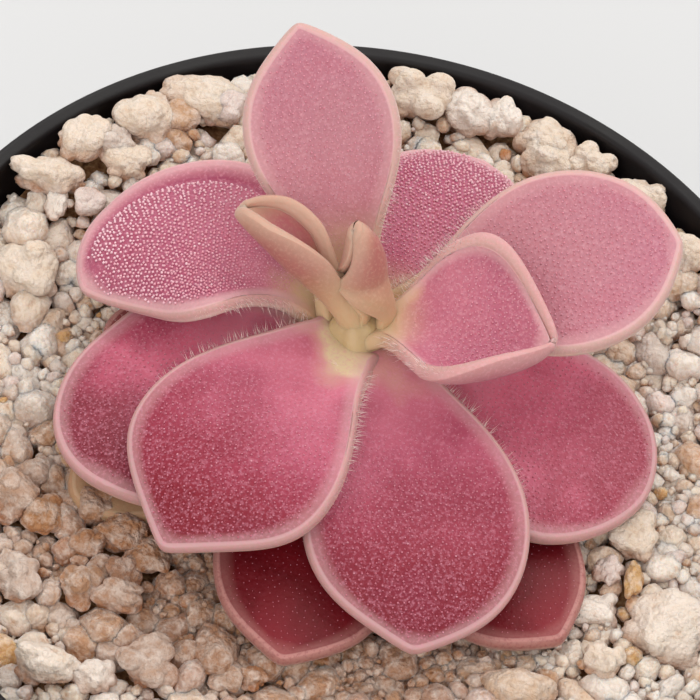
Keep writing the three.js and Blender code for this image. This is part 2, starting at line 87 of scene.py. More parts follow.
LEAVES = {
    "leaf_back": (
        (116, 2.0, 3.8, 17.6, 9.4, 2.4, 0.62, (49, 24), 1, -14, (30, 6, 40, 6)),
        dict(flare=2.2, point=1.35, apex=(1.3, 1.3), flesh="dusty", green=0.6)),
    "leaf_back_right": (
        (70, 2.1, 1.1, 15.2, 11.0, 2.2, 0.6, (35, -29), -2, -3, (30, -10, 30, -10)),
        dict(point=2, clear=(0.4, 0.4), green=0.8, **WET)),
    "leaf_right": (
        (26, 1.9, 3.0, 19.1, 11.8, 2.2, 0.62, (28, 6), -10, 12, (30, 4, 30, 4)),
        dict(flare=1.8, point=1.7, apex=(2.2, 2.2), flesh="dusty", green=0.72)),
    "leaf_right_small": (
        (-4, 1.6, 4.6, 11.0, 11.4, 2.0, 0.56, (32, 5), -6, 23, (14, 6, 30, 48)),
        dict(lip=(100, 6, 110, 2), lip_start=0.8, flare=1.4, point=1.5, apex=(1.35, 0),
             flesh="tender", clear=(0.9, 1.8), green=0.9, fuse=0.3)),
    "leaf_young_left": (
        (162, 1.6, 5.3, 8.8, 6.0, 1.7, 0.56, (44, 20), -2, 10, (178, 112, 176, 97)),
        dict(lip=(0, 5, 70, 4), flare=2.4, point=1.5, flesh="young", dew=0, green=0.75,
             belly=(0.3, -0.3))),
    "leaf_young_middle": (
        (60, 1.45, 5.7, 5.9, 4.8, 1.5, 0.5, (84, 42), 100, -110, (150, 165, 150, 165)),
        dict(turn=30, flesh="young", dew=0, green=0.8, fuse=1.3, belly=(0.4, 0.4))),
    "leaf_left_upper": (
        (139, 2.3, 2.3, 18.6, 13.0, 2.0, 0.54, (38, -36), 95, 4.5, (38, -10, 34, -40)),
        dict(flare=1.4, point=1.45, clear=(0.7, 1.5), groove=0.7, green=0.9, **WET)),
    "leaf_left_lower": (
        (202, 2.1, 0.8, 17.4, 14.4, 2.4, 0.6, (10, -10), 50, 2, (25, -15, 25, -15)),
        dict(point=2, belly=(0, 1.6), lift=0.7, flesh="rose_painted_light_deep_tip")),
    "leaf_front_left": (
        (239, 1.8, 3.4, 18.3, 13.6, 3.0, 0.6, (17, -24), 7, 5, (25, -15, 25, -15)),
        dict(flare=1.2, point=1.6, apex=(1.45, 1.45), green=1.9)),
    "leaf_front": (
        (302, 1.8, 1.9, 20.0, 13.7, 2.6, 0.6, (13, -23), -30, -1, (25, -12, 25, -12)),
        dict(flare=1.4, point=1.6, apex=(1.9, 1.9), green=2.8, fuse=1.1, lift=1.3)),
    "leaf_right_lower": (
        (348, 2.3, 0.1, 18.0, 14.0, 2.4, 0.62, (10, -13), -15, -2, (25, -10, 25, -10)),
        dict(lift=1.6, flesh="rose_painted_light")),
    "leaf_under_front": (
        (269, 2.4, -0.45, 19.0, 11.4, 2.4, 0.6, (3, -11), -4, 0, (20, -10, 20, -10)),
        SHADED),
    "leaf_under_right": (
        (313, 2.5, -2.0, 19.9, 10.9, 2.4, 0.6, (2, -2), 2, 2, (20, -10, 20, -10)),
        SHADED),
    "leaf_under_left": (
        (186, 2.3, -1.0, 13.4, 7.6, 2.4, 0.6, (8, -7), -10, 1, (20, -10, 20, -10)),
        dict(flesh="shade")),
    "leaf_under_back": (
        (106, 2.4, -0.3, 9.0, 7.4, 1.8, 0.6, (14, -14), 3, 0, (20, -10, 20, -10)),
        dict(flesh="shade")),
    "leaf_under_back_right": (
        (42, 2.4, -1.5, 11.5, 8.0, 2.0, 0.6, (10, -12), -2, 0, (20, -10, 20, -10)),
        dict(flesh="shade")),
    "leaf_withered": (
        (219, 2.4, -2.4, 17.2, 7.6, 2.2, 0.62, (2, -3), -2, 2, (10, 0, 10, 0)),
        dict(point=1.9, flesh="withered", dew=0)),
}
# The material slot of each tissue; the others are leaf_red.
FLESH_SLOT = {
    "dusty": "leaf_pale", "shade": "leaf_deep", "young": "leaf_young", "withered": "leaf_dry"}


# ---- meshes ----
def add_object(name, data):
    thing = bpy.data.objects.new(name, data)
    bpy.context.scene.collection.objects.link(thing)
    return thing


def make_piece(name, points, faces, material, slot, weld=False, **values):
    """A smooth mesh from points in millimetres and faces of equal length, with named values per
    point: a plain number each, or a colour of three. Rides on the pot."""
    mesh = bpy.data.meshes.new(name)
    mesh.from_pydata(points * MM, [], faces, shade_flat=False)
    for key, value in values.items():
        value = np.asarray(value, np.float32)
        if value.ndim == 1:
            mesh.attributes.new(key, "FLOAT", "POINT").data.foreach_set("value", value)
        else:
            colour = np.concatenate([value, np.ones((len(value), 1), np.float32)], 1)
            layer = mesh.attributes.new(key, "FLOAT_COLOR", "POINT")
            layer.data.foreach_set("color", colour.ravel())
    mesh.validate()
    if weld:
        work = bmesh.new()
        work.from_mesh(mesh)
        bmesh.ops.remove_doubles(work, verts=work.verts, dist=1e-6)
        bmesh.ops.recalc_face_normals(work, faces=work.faces)
        work.to_mesh(mesh)
        work.free()
    mesh.materials.append(material)
    piece = add_object(name, mesh)
    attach(piece, "root")
    return piece


def tube_faces(rings, around):
    """Four-sided faces of a grid of rings, each joined to the next and closed round itself."""
    i, j = np.meshgrid(np.arange(rings - 1), np.arange(around), indexing="ij")
    a = i * around + j
    b = i * around + (j + 1) % around
    return np.stack([a, a + around, b + around, b], -1).reshape(-1, 4)


def unit(vectors):
    return vectors / np.maximum(np.linalg.norm(vectors, axis=-1, keepdims=True), 1e-9)


def mix(a, b, share):
    return a + (b - a) * share


def smooth_step(value, low, high):
    share = np.clip((value - low) / (high - low), 0, 1)
    return share * share * (3 - 2 * share)


def sphere(level):
    """Directions and triangles of an octahedron whose faces are each cut into level x level."""
    corners = np.array(
        [[1, 0, 0], [0, 1, 0], [-1, 0, 0], [0, -1, 0], [0, 0, 1], [0, 0, -1]], float)
    eighths = [
        (0, 1, 4), (1, 2, 4), (2, 3, 4), (3, 0, 4), (1, 0, 5), (2, 1, 5), (3, 2, 5), (0, 3, 5)]
    spots = [(r, c) for r in range(level + 1) for c in range(level + 1 - r)]
    row, column = np.array(spots).T
    shares = np.stack([level - row - column, row, column], -1) / level
    at = {spot: number for number, spot in enumerate(spots)}
    cells = np.array(
        [(at[r, c], at[r + 1, c], at[r, c + 1]) for r, c in spots if r + c < level]
        + [(at[r + 1, c], at[r + 1, c + 1], at[r, c + 1]) for r, c in spots if r + c < level - 1])
    points = np.concatenate([shares @ corners[list(face)] for face in eighths])
    faces = np.concatenate([cells + k * len(shares) for k in range(8)])
    _, first, same = np.unique(points.round(6), axis=0, return_index=True, return_inverse=True)
    return unit(points[first]), same.reshape(-1)[faces]


def repeated(faces, count, points):
    """The faces of one shape once for each of count copies, which have so many points."""
    return (faces[None] + np.arange(count)[:, None, None] * points).reshape(-1, faces.shape[1])


def turned(profile, around):
    """x, y and z of a grid of rings: the profile's radii and heights turned about the Z axis."""
    turn = np.arange(around) * math.tau / around
    radius, height = np.array(profile, float).T[..., None]
    return radius * np.cos(turn), radius * np.sin(turn), np.repeat(height, around, 1)


def make_turned(name, node, grid, material, slot):
    """A closed body from a grid of rings, shown in place of one solid of the CAD model."""
    faces = tube_faces(*grid[0].shape)[:, ::-1]
    points = np.stack(grid, -1).reshape(-1, 3)
    piece = make_piece(name, points, faces, material, slot, weld=True)
    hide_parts(node)
    return piece


# ---- materials ----
def srgb(code):
    """A colour written #rrggbb, or #rrggbbaa, as linear red, green, blue and alpha."""
    parts = np.array([int(code[k:k + 2], 16) for k in range(1, len(code), 2)]) / 255
    linear = np.where(parts <= 0.04045, parts / 12.92, ((parts + 0.055) / 1.055) ** 2.4)
    return (*linear[:3], parts[3] if len(parts) > 3 else 1.0)


def set_inputs(node, inputs):
    """inputs maps a socket's name or number to a number, a hex colour, or the node or output
    that feeds it."""
    for key, value in inputs.items():
        named = [s for s in node.inputs if s.enabled and s.name == key]
        socket = named[0] if named else node.inputs[key]
        if isinstance(value, bpy.types.Node):
            value = next(s for s in value.outputs if s.enabled)
        if isinstance(value, bpy.types.NodeSocket):
            node.id_data.links.new(value, socket)
        else:
            socket.default_value = srgb(value) if isinstance(value, str) else value


def span(low, high, start=0.0, end=1.0):
    """Inputs of a node that turns the range low to high into start to end, and stops there."""
    return {"From Min": low, "From Max": high, "To Min": start, "To Max": end}


def add_node(tree, kind, inputs, stops=(), **settings):
    """One node with its settings and links. stops: a colour ramp's places and hex colours."""
    node = tree.nodes.new("ShaderNode" + kind)
    for key, value in settings.items():
        setattr(node, key, value)
    set_inputs(node, inputs)
    if stops:
        spots = node.color_ramp.elements
        while len(spots) < len(stops):
            spots.new(0.5)
        for spot, (place, code) in zip(spots, stops):
            spot.position = place
            spot.color = srgb(code)
    return node


def new_material(name):
    """A material, what adds a node to it, its shader, and object coordinates counted in
    millimetres, so that every pattern's scale is per millimetre."""
    material = bpy.data.materials.new(name)
    material.use_nodes = True
    tree = material.node_tree
    add = functools.partial(add_node, tree)
    place = add("TexCoord", {}).outputs["Object"]
    where = add("Mapping", {"Vector": place, "Scale": (1000, 1000, 1000)})
    return material, add, tree.nodes["Principled BSDF"], where


# Succulent leaf tissue: a waxy skin under a velvet of gland heads, over soft flesh that lets
# light through. For each tissue: line, band and hem, which are the crisp edge of the face, the
# thick margin's wall and its outer corner; under, the lower face; deep, patches with more
# pigment; velvet, the gland heads seen together; haze, how dense the pale border starts; and the
# face's colours from foot to tip. The two rose tissues of the lowest leaves have lighter feet:
# painted light where the leaves above shade them.
RED_RIM = ("#c8a0a4", "#c09694", "#cea698", "#a8505e")
FLESH = {
    "rose": (*RED_RIM, "#8e2c48", "#d692a8", "6c", [
        (0.0, "#d8c4a2"), (0.06, "#d09694"), (0.16, "#c66c84"), (0.4, "#ae506a"),
        (0.6, "#98344c"), (0.8, "#821a2e"), (1.0, "#740f20")]),
    # Painted light: rose with a lighter foot, for a low leaf whose foot the leaves above shade.
    "rose_painted_light": (*RED_RIM, "#a63c58", "#dc98ae", "6c", [
        (0.0, "#e0ccae"), (0.08, "#e8b0ae"), (0.2, "#ea92aa"), (0.4, "#d86e8a"),
        (0.6, "#ba5872"), (0.8, "#9a3a50"), (1.0, "#923246")]),
    # Painted light: rose with a lighter foot where the leaves above shade it, and a deeper tip.
    "rose_painted_light_deep_tip": (*RED_RIM, "#9c3450", "#d894aa", "6c", [
        (0.0, "#e0ccae"), (0.08, "#e8b0ae"), (0.2, "#ea92aa"), (0.4, "#da708c"),
        (0.6, "#a84660"), (0.8, "#7c2034"), (1.0, "#72182a")]),
    "pink": ("#d8b0b2", "#c69e9a", "#d4b8b0", "#c08084", "#a84868", "#e2a8b8", "b0", [
        (0.0, "#d8c9a0"), (0.1, "#d6b094"), (0.24, "#c27288"), (0.6, "#ae5674"),
        (1.0, "#a85670")]),
    "tender": ("#d8b0b2", "#c69e9a", "#ca9c9c", "#b87480", "#ae5470", "#deaab6", "98", [
        (0.0, "#d8c9a0"), (0.1, "#d6b094"), (0.24, "#c07286"), (0.6, "#b26078"),
        (1.0, "#b06076")]),
    "dusty": ("#d2acae", "#c8a6a0", "#d4beb0", "#b87c80", "#b46474", "#dcaab6", "50", [
        (0.0, "#dccfa6"), (0.12, "#dcb8a4"), (0.3, "#c48490"), (0.6, "#b87a88"),
        (1.0, "#b87488")]),
    "shade": ("#ba8682", "#aa7872", "#bc948a", "#701c2c", "#5c040a", "#7c2432", "50", [
        (0.0, "#a0765c"), (0.15, "#801c2c"), (0.45, "#7c0e1a"), (0.8, "#660412"),
        (1.0, "#8a1c2c")]),
    "young": ("#d0b2a0", "#c8a898", "#c2a08e", "#9a6250a0", "#b0707a", "#cca494", "50", [
        (0.0, "#b8a272"), (0.22, "#bc9a7a"), (0.45, "#c48486"), (0.75, "#c27880"),
        (1.0, "#cca088")]),
    "withered": ("#c8aa8c", "#b49070", "#c4a486", "#9a7654", "#94684a", "#c2a284", "50", [
        (0.0, "#966e4c"), (0.5, "#aa8260"), (1.0, "#b08a68")]),
}
HEART_TINT = "#ccb28c"  # chlorophyll showing where the young bases meet
EDGE_SPAN = 3.0  # the margin's coordinate runs this far either side of the crisp edge


def leaf_material(name, line, band, hem, under, deep, velvet, haze, stops):
    """The face's colours, then laid over them one by one: patches of pigment, gland heads, painted
    shade in the groove, the rim, paler flecks and the tint of the heart."""
    material, add, shader, where = new_material("butterwort_skin_" + name)
    along, margin, heart, pit = (
        add("Attribute", {}, attribute_name=key).outputs["Fac"]
        for key in ("along", "margin", "heart", "pit"))
    cloud = add("TexNoise", {"Vector": where, "Scale": 0.22, "Detail": 2.0})
    grain = add("TexNoise", {"Vector": where, "Scale": 4.6, "Detail": 2.0, "Roughness": 0.65})
    heads = add("TexVoronoi", {"Vector": where, "Scale": 2.9, "Randomness": 0.85})
    drift = add("MapRange", {"Value": cloud, **span(0.3, 0.7, -0.12, 0.12)})
    place = add("Math", {0: along, 1: drift}, operation="ADD")
    skin = add("ValToRGB", {"Fac": place}, stops=stops)
    patch = add("MapRange", {"Value": cloud, **span(0.5, 0.72, 0.0, 0.45)})
    dots = add("MapRange", {"Value": heads, **span(0.12, 0.24, 0.3, 0.0)})
    across = add("MapRange", {"Value": margin, **span(-EDGE_SPAN, EDGE_SPAN)})
    rim = add("ValToRGB", {"Fac": across}, stops=[
        (0.1, under), (0.3, hem), (0.37, hem), (0.4, band), (0.48, band), (0.494, line),
        (0.503, line + "d0"), (0.515, line + haze), (0.56, line + haze), (0.67, line + "00")])
    fleck = add("MapRange", {"Value": grain, **span(0.48, 0.72, 0.0, 0.42)})
    near = add(
        "MapRange", {"Value": heart, **span(1.8, 5.4, 0.92, 0.0)}, interpolation_type="SMOOTHSTEP")
    # The groove is darkened with the deep colour: painted shade in its crease.
    for share, colour in (
            (patch, deep), (dots, velvet), (pit, deep), (rim.outputs["Alpha"], rim),
            (fleck, velvet), (near, HEART_TINT)):
        skin = add("Mix", {"Factor": share, "A": skin, "B": colour}, data_type="RGBA")
    relief = add("Math", {0: heads, 1: -0.7, 2: grain}, operation="MULTIPLY_ADD")
    bump = add("Bump", {"Height": relief, "Strength": 0.7, "Distance": 0.03 * MM})
    rough = add("MapRange", {"Value": grain, **span(0.3, 0.7, 0.4, 0.56)})
    set_inputs(shader, {
        "Base Color": skin, "Normal": bump, "Roughness": rough, "IOR": 1.42,
        "Subsurface Weight": 0.35, "Subsurface Radius": (1.0, 0.36, 0.34),
        "Subsurface Scale": 1.0 * MM, "Specular IOR Level": 0.4, "Sheen Weight": 0.1,
        "Sheen Roughness": 0.4, "Sheen Tint": "#f6dcea"})
    return material


def gland_material(name, dull, bright, rough):
    """Mucilage on the gland heads: clear and wet, so small that it reads as points of light. The
    whiter drops are partly paler mucilage and partly painted highlights.
    """
    material, add, shader, _ = new_material(name)
    # The drop's colour runs from dull to white, the white partly a painted highlight.
    gleam = add("Attribute", {}, attribute_name="gleam").outputs["Fac"]
    tone = add("ValToRGB", {"Fac": gleam}, stops=[(0.0, dull), (1.0, bright)])
    set_inputs(shader, {
        "Base Color": tone, "Roughness": rough, "IOR": 1.42, "Subsurface Weight": 0.2,
        "Subsurface Radius": (1.0, 0.7, 0.7), "Subsurface Scale": 0.1 * MM})
    return material


def hair_material():
    """Fine glassy hairs along the margins near a leaf's foot, which catch the light."""
    material, add, shader, where = new_material("glassy_hair")
    tint = add("TexNoise", {"Vector": where, "Scale": 0.7})
    tone = add("ValToRGB", {"Fac": tint}, stops=[(0.35, "#f0d8d4"), (0.7, "#fff4f0")])
    set_inputs(shader, {"Base Color": tone, "Roughness": 0.35})
    return material


def crown_material():
    """Growing tissue at the heart of the rosette: wet, translucent, green and cream where the
    youngest leaves part, and corky brown further down the stem."""
    material, add, shader, where = new_material("growing_tissue")
    mottle = add("TexNoise", {"Vector": where, "Scale": 0.6})
    tone = add("ValToRGB", {"Fac": mottle}, stops=[
        (0.3, "#bca47a"), (0.55, "#c4ac84"), (0.8, "#ccb694")])
    height = add("SeparateXYZ", {"Vector": where}).outputs["Z"]
    low = add("MapRange", {"Value": height, **span(48.5, 51.5, 1.0, 0.0)})
    tone = add("Mix", {"Factor": low, "A": tone, "B": "#7c5a3c"}, data_type="RGBA")
    fine = add("TexNoise", {"Vector": where, "Scale": 3.0})
    bump = add("Bump", {"Height": fine, "Distance": 0.05 * MM})
    set_inputs(shader, {
        "Base Color": tone, "Normal": bump, "Roughness": 0.45, "Subsurface Weight": 0.3,
        "Subsurface Radius": (1.0, 0.8, 0.3), "Subsurface Scale": 1.0 * MM})
    return material


def stone_material(name, clear):
    """Crushed quartz. clear: 1 for glassy grains, 0 for chalky ones. Each stone carries its own
    tone; iron stains it in patches, and crystal faces of half a millimetre roughen it like rock
    sugar. The light that soaks in comes out warm."""
    material, add, shader, where = new_material(name)
    tone = add("Attribute", {}, attribute_name="tone").outputs["Color"]
    mottle = add("TexNoise", {"Vector": where, "Scale": 1.1, "Detail": 4.0, "Roughness": 0.7})
    crystal = add("TexVoronoi", {"Vector": where, "Scale": 2.6})
    pale = add("MapRange", {"Value": mottle, **span(0.42, 0.66, 0.0, 0.55)})
    skin = add("Mix", {"Factor": pale, "A": tone, "B": "#ece3dc"}, data_type="RGBA")
    stain = add("MapRange", {"Value": mottle, **span(0.3, 0.42, mix(0.4, 0.6, clear), 0.0)})
    skin = add("Mix", {"Factor": stain, "A": skin, "B": "#c49874"}, data_type="RGBA")
    relief = add(
        "Math", {0: crystal, 1: mix(-0.3, -0.5, clear), 2: mottle}, operation="MULTIPLY_ADD")
    bump = add("Bump", {
        "Height": relief, "Strength": 0.9, "Distance": mix(0.6, 0.4, clear) * MM})
    low = mix(0.62, 0.22, clear)
    rough = add("MapRange", {"Value": mottle, **span(0.35, 0.65, low + 0.2, low)})
    set_inputs(shader, {
        "Base Color": skin, "Normal": bump, "Roughness": rough, "IOR": 1.54,
        "Subsurface Weight": mix(0.2, 0.9, clear), "Subsurface Radius": (1.0, 0.84, 0.7),
        "Subsurface Scale": mix(0.2, 0.6, clear) * MM, "Sheen Weight": 0.5 * clear,
        "Sheen Roughness": 0.3})
    return material


def bed_material():
    """Fine sand between the stones, whose warm browns also paint the shade in the gaps."""
    material, add, shader, where = new_material("sand_gap_shade")
    grain = add("TexNoise", {"Vector": where, "Scale": 3.0, "Detail": 4.0})
    tone = add("ValToRGB", {"Fac": grain}, stops=[
        (0.3, "#74482a"), (0.5, "#a2744c"), (0.7, "#c49c72")])
    bump = add("Bump", {"Height": grain, "Distance": 0.3 * MM})
    set_inputs(shader, {"Base Color": tone, "Normal": bump, "Roughness": 0.85})
    return material


def pot_material():
    """Black polypropylene, injection moulded: matt, with a faint flow texture and dusty scuffs."""
    material, add, shader, where = new_material("moulded_polypropylene")
    dust = add("TexNoise", {"Vector": where, "Scale": 0.25, "Detail": 4.0})
    tone = add("ValToRGB", {"Fac": dust}, stops=[
        (0.35, "#0d0b0d"), (0.6, "#121014"), (0.8, "#1d1a1c")])
    rough = add("MapRange", {"Value": dust, **span(0.35, 0.75, 0.42, 0.62)})
    fine = add("TexNoise", {"Vector": where, "Scale": 4.0})
    bump = add("Bump", {"Height": fine, "Strength": 0.6, "Distance": 0.02 * MM})
    set_inputs(shader, {
        "Base Color": tone, "Roughness": rough, "Normal": bump, "IOR": 1.49,
        "Specular IOR Level": 0.3})
    return material


# ---- leaf surfaces ----
MIDRIB_STEPS = 240
SECTION_STEPS = 24
ROLL_RAMP = 0.35  # share of the length over which a blade's roll sets in
CUP_RAMP = 0.8  # and over which its cupping changes from foot to tip
APEX_BLEND = 8.0  # power that rounds the outline into its straight tip
TIP_ROUND = 0.5  # rounding of the apex itself
FOOT_REACH = 2.8  # the feet flare over this length, where they fuse at the heart
FOOT_SINK = 2.6  # and run on this far into it
FOOT_DROP = 0.3  # bending down as they go
LIFT_REACH = 5.0  # length over which a leaf's lift is lost
FLAT_TIP = 0.6  # a blade narrower than twice this lies flat
WAVE = 0.1  # slow unevenness of a blade
GROOVE_WIDTH = 0.55  # half width of a groove
HEART = CROWN + [0, 0, 3.0]  # where the heart's tint is strongest


def half_width(leaf, t, u):
    """Half the blade's width on the side of u: a power of a sine up to the widest place, then 1
    minus a power, raised to 1 over `point`. The soft least of that and a straight line towards
    the tip gives a pointed leaf its apex."""
    neck, full = leaf.neck / 2, leaf.width / 2
    swell = np.sin(math.pi / 2 * np.clip(t / leaf.widest, 0, 1)) ** leaf.flare
    past = np.clip((t - leaf.widest) / (1 - leaf.widest), 0, 1)
    close = (1 - past ** leaf.shoulder) ** (1 / leaf.point)
    half = np.where(t < leaf.widest, neck + (full - neck) * swell, full * close)
    half = half + leaf.fuse * np.exp(-(np.clip(t, 0, 1) * leaf.length / FOOT_REACH) ** 2)
    belly = np.where(u >= 0, *leaf.belly)
    half = half + belly * np.sin(math.pi * np.clip(t / leaf.widest, 0, 1)) ** 2
    apex = np.where(u >= 0, *leaf.apex)
    left_over = (1 - t) * leaf.length
    straight = np.maximum(apex * np.sqrt(np.maximum(left_over * (left_over + TIP_ROUND), 0)), 1e-6)
    cut = (np.maximum(half, 1e-6) ** -APEX_BLEND + straight ** -APEX_BLEND) ** (-1 / APEX_BLEND)
    return np.where(apex > 0, cut, half)


def heading(leaf, t):
    return np.radians(leaf.azimuth + leaf.turn + leaf.bend * t)


def midrib_direction(leaf, t):
    """The midrib climbs by `rise` and turns by `bend`, both evenly along its length."""
    climb = np.radians(mix(leaf.rise[0], leaf.rise[1], t))
    turn = heading(leaf, t)
    return np.stack(
        [np.cos(climb) * np.cos(turn), np.cos(climb) * np.sin(turn), np.sin(climb)], -1)


def midrib(leaf, t):
    """The sum of the midrib's direction from its foot to t. Below the foot it runs on and drops
    as the square of the distance."""
    middle = (np.arange(MIDRIB_STEPS) + 0.5) / MIDRIB_STEPS
    steps = midrib_direction(leaf, middle) * leaf.length / MIDRIB_STEPS
    start = math.radians(leaf.azimuth)
    foot = np.array([
        leaf.foot * math.cos(start), leaf.foot * math.sin(start), leaf.height])
    line = CROWN + foot + np.concatenate([np.zeros((1, 3)), np.cumsum(steps, 0)])
    knots = np.linspace(0, 1, MIDRIB_STEPS + 1)
    points = np.stack([np.interp(t, knots, line[:, k]) for k in range(3)], -1)
    below = np.minimum(t, 0)[..., None] * leaf.length
    drop = np.array([0, 0, -FOOT_DROP]) * below ** 2
    out = np.maximum(t, 0)[..., None] * leaf.length / LIFT_REACH
    raised = np.array([0, 0, leaf.lift]) * np.exp(-out ** 2)
    return points + below * midrib_direction(leaf, np.array(0.0)) + drop + raised


def trough(leaf, t, u):
    """How deep in the groove a place lies, 0 to 1: a bell across the line that keeps the clear
    width from the right margin."""
    ditch = (1 - np.abs(u)) * half_width(leaf, t, u) - leaf.clear[1]
    return np.exp(-(ditch / GROOVE_WIDTH) ** 2) * (u < 0)


def blade(leaf, t, u):
    """Points of a leaf's middle surface and the normals there, at the shares t of its length and
    u of its half width, -1 to 1. The section's slope grows from the midrib as cup * w + lip *
    w ** power, and the section is the sum of its steps across."""
    grown = np.clip(t, 0, 1)
    along = midrib_direction(leaf, grown)
    turn = heading(leaf, grown)
    level = np.stack([-np.sin(turn), np.cos(turn), np.zeros_like(turn)], -1)
    above = np.cross(along, level)
    roll = (np.radians(leaf.roll) * np.clip(grown / ROLL_RAMP, 0, 1))[..., None]
    side = level * np.cos(roll) + above * np.sin(roll)
    normal = above * np.cos(roll) - level * np.sin(roll)
    left = u >= 0
    half = half_width(leaf, t, u)
    bent = 1 - np.clip(1 - half / FLAT_TIP, 0, 1) ** 2
    growth = np.clip(grown / CUP_RAMP, 0, 1)
    cup, lip = leaf.cup, leaf.lip
    cup = np.radians(np.where(left, mix(*cup[:2], growth), mix(*cup[2:], growth))) * bent
    power = np.where(left, lip[1], lip[3])
    lip = np.radians(np.where(left, lip[0], lip[2])) * grown ** leaf.lip_start * bent
    reach = np.abs(u)
    across, up = np.zeros_like(reach), np.zeros_like(reach)
    for k in range(SECTION_STEPS):
        w = reach * (k + 0.5) / SECTION_STEPS
        slope = cup * w + lip * w ** power
        across += np.cos(slope) * reach / SECTION_STEPS
        up += np.sin(slope) * reach / SECTION_STEPS
    slope = (cup * reach + lip * reach ** power)[..., None]
    sign = np.where(left, 1.0, -1.0)[..., None]
    half = half[..., None]
    points = midrib(leaf, t) + half * (sign * across[..., None] * side + up[..., None] * normal)
    out = normal * np.cos(slope) - side * sign * np.sin(slope)
    swing = np.sin(math.pi * grown)
    wave = WAVE * np.sin(6.1 * t + leaf.phase) * np.sin(2.6 * u + 2.0 * leaf.phase)
    wave = wave - leaf.groove * trough(leaf, t, u)
    return points + out * (wave * swing)[..., None], out


LEAF_RINGS = 72
LEAF_COLUMNS = 32
UNDER_SIDE = 0.55  # how far the lower face lies below the middle surface
FACE_INSET = 0.2  # the upper face's crisp edge lies this far inside the outline
FACE_SHORT = 1.3  # and this many insets short of the tip
GROOVE_SHADE = 0.8  # how much a groove's depth in millimetres darkens it, as painted shade in its crease
# The thick margin's wall from upper to lower face: how far out from the blade's edge and how
# far above its middle surface each point stands.
WALL = np.array([
    (-0.14, 0.445), (-0.02, 0.4), (0.09, 0.28), (0.15, 0.1), (0.18, -0.12), (0.16, -0.34),
    (0.03, -0.52)])
WALL_LENGTH = 1.3  # over the wall from face to face


def margin_wall(edge, out, tip, sign, narrow):
    """The wall's outline swept along the edge, in the plane of the normal and the edge's own
    outward direction. narrow draws its inner part in where the blade is slim."""
    away = unit(np.cross(out, np.gradient(edge, axis=0)) * sign)
    away[-1] = tip
    stand = np.where(WALL[:, 0] < 0, WALL[:, 0] * narrow[:, None], WALL[:, 0])
    return (edge[:, None] + out[:, None] * WALL[None, :, 1:]
            + away[:, None] * stand[..., None])


def make_leaf(name, leaf, material):
    """Rings round the blade: upper face, left wall, lower face, right wall. The upper face is
    the same surface drawn in from the outline. The rings crowd towards the tip, where the last
    closes to a line, and one point closes the foot."""
    start = -FOOT_SINK / leaf.length
    t = mix(start, 1.0, np.sin(math.pi / 2 * np.linspace(0, 1, LEAF_RINGS)))
    u = np.sin(math.pi / 2 * np.linspace(-1, 1, LEAF_COLUMNS + 1))
    rings, across = np.meshgrid(t, u, indexing="ij")
    middle, out = blade(leaf, rings, across)
    tip = midrib_direction(leaf, np.array(1.0))
    width = half_width(leaf, rings, across)
    narrow = width / (width + FACE_INSET)
    short = rings * (1 - FACE_SHORT * FACE_INSET / leaf.length)
    inner = width * narrow / np.maximum(half_width(leaf, short, across), 1e-6)
    inner = across * np.clip(inner, 0, 1)
    upper, upper_out = blade(leaf, short, inner)
    left, right = (
        margin_wall(middle[:, k], out[:, k], tip, sign, narrow[:, k])
        for k, sign in ((-1, 1.0), (0, -1.0)))
    half = LEAF_THICKNESS / 2
    lower = (middle - out * UNDER_SIDE)[:, ::-1]
    loops = np.concatenate([upper + upper_out * half, left, lower, right[:, ::-1]], 1)
    around = loops.shape[1]
    inward = np.minimum((1 - np.abs(across)) * width * narrow, (1 - rings) * leaf.length)
    path = np.concatenate([[(-FACE_INSET, half)], WALL])
    path = np.cumsum(np.hypot(*np.diff(path, axis=0).T))
    wall = np.repeat(-path[None], LEAF_RINGS, 0)
    margin = np.concatenate([inward, wall, -WALL_LENGTH - inward[:, ::-1], wall[:, ::-1]], 1)
    # Painted shade: how dark the groove's crease is painted.
    pit = np.zeros_like(margin)
    pit[:, :LEAF_COLUMNS + 1] = trough(leaf, short, inner) * leaf.groove * GROOVE_SHADE
    foot = middle[0].mean(0) - 0.1 * midrib_direction(leaf, np.array(0.0))
    points = np.concatenate([np.repeat(foot[None], around, 0), loops.reshape(-1, 3)])
    return make_piece(
        name, points, tube_faces(LEAF_RINGS + 1, around), material, leaf.slot, weld=True,
        along=np.repeat(np.append(start, t), around),
        margin=np.concatenate([np.ones(around), margin.ravel()]),
        pit=np.concatenate([np.zeros(around), pit.ravel()]),
        heart=np.linalg.norm(points - HEART, axis=1) * leaf.green)


# ---- glands and hairs ----
GLINT_SHARE = 0.03  # share of the glands whose drop is painted fully white, a painted glint
RIDGE_GLINT_WIDTH = 3.2  # beside a groove the drops are painted whiter over this width, a painted highlight on the ridge
PALE_FLESH = ("pink", "tender", "dusty")  # on these leaves every drop is paler
GLAND_FOOT = 0.2  # share of the length that stays bare at the foot
LATTICE_ROW = 0.87  # distance of the lattice's rows, in spacings
JITTER = 0.26  # how far a gland strays from its place, in spacings
GLAND_TILT = 0.12  # how far glands lean at random
HAIR_SPACING = 0.08  # mean distance of the hairs along a leaf
HAIR_SHARE = 0.62  # share of the length with hairs along its margins
HAIR_RADIUS = 0.024  # at the root, for a hair of length 1
HAIR_ROOT = 0.14  # how far outside the blade's edge the hairs start
HAIR_SPREAD = 0.2  # how far they lean at random


def copies(shape, faces, centres, frames, sizes):
    """One copy of a small shape at each centre, turned by its frame and scaled by its size."""
    points = centres[:, None] + np.einsum("vk,nkd->nvd", shape, frames) * sizes[:, None, None]
    return points.reshape(-1, 3), repeated(faces, len(centres), len(shape))


def frames_on(normals, rng):
    """Three directions for each normal, the third along it and the first at a random turn."""
    spare = unit(rng.normal(size=normals.shape))
    first = unit(np.cross(normals, spare))
    return np.stack([first, np.cross(normals, first), normals], 1)


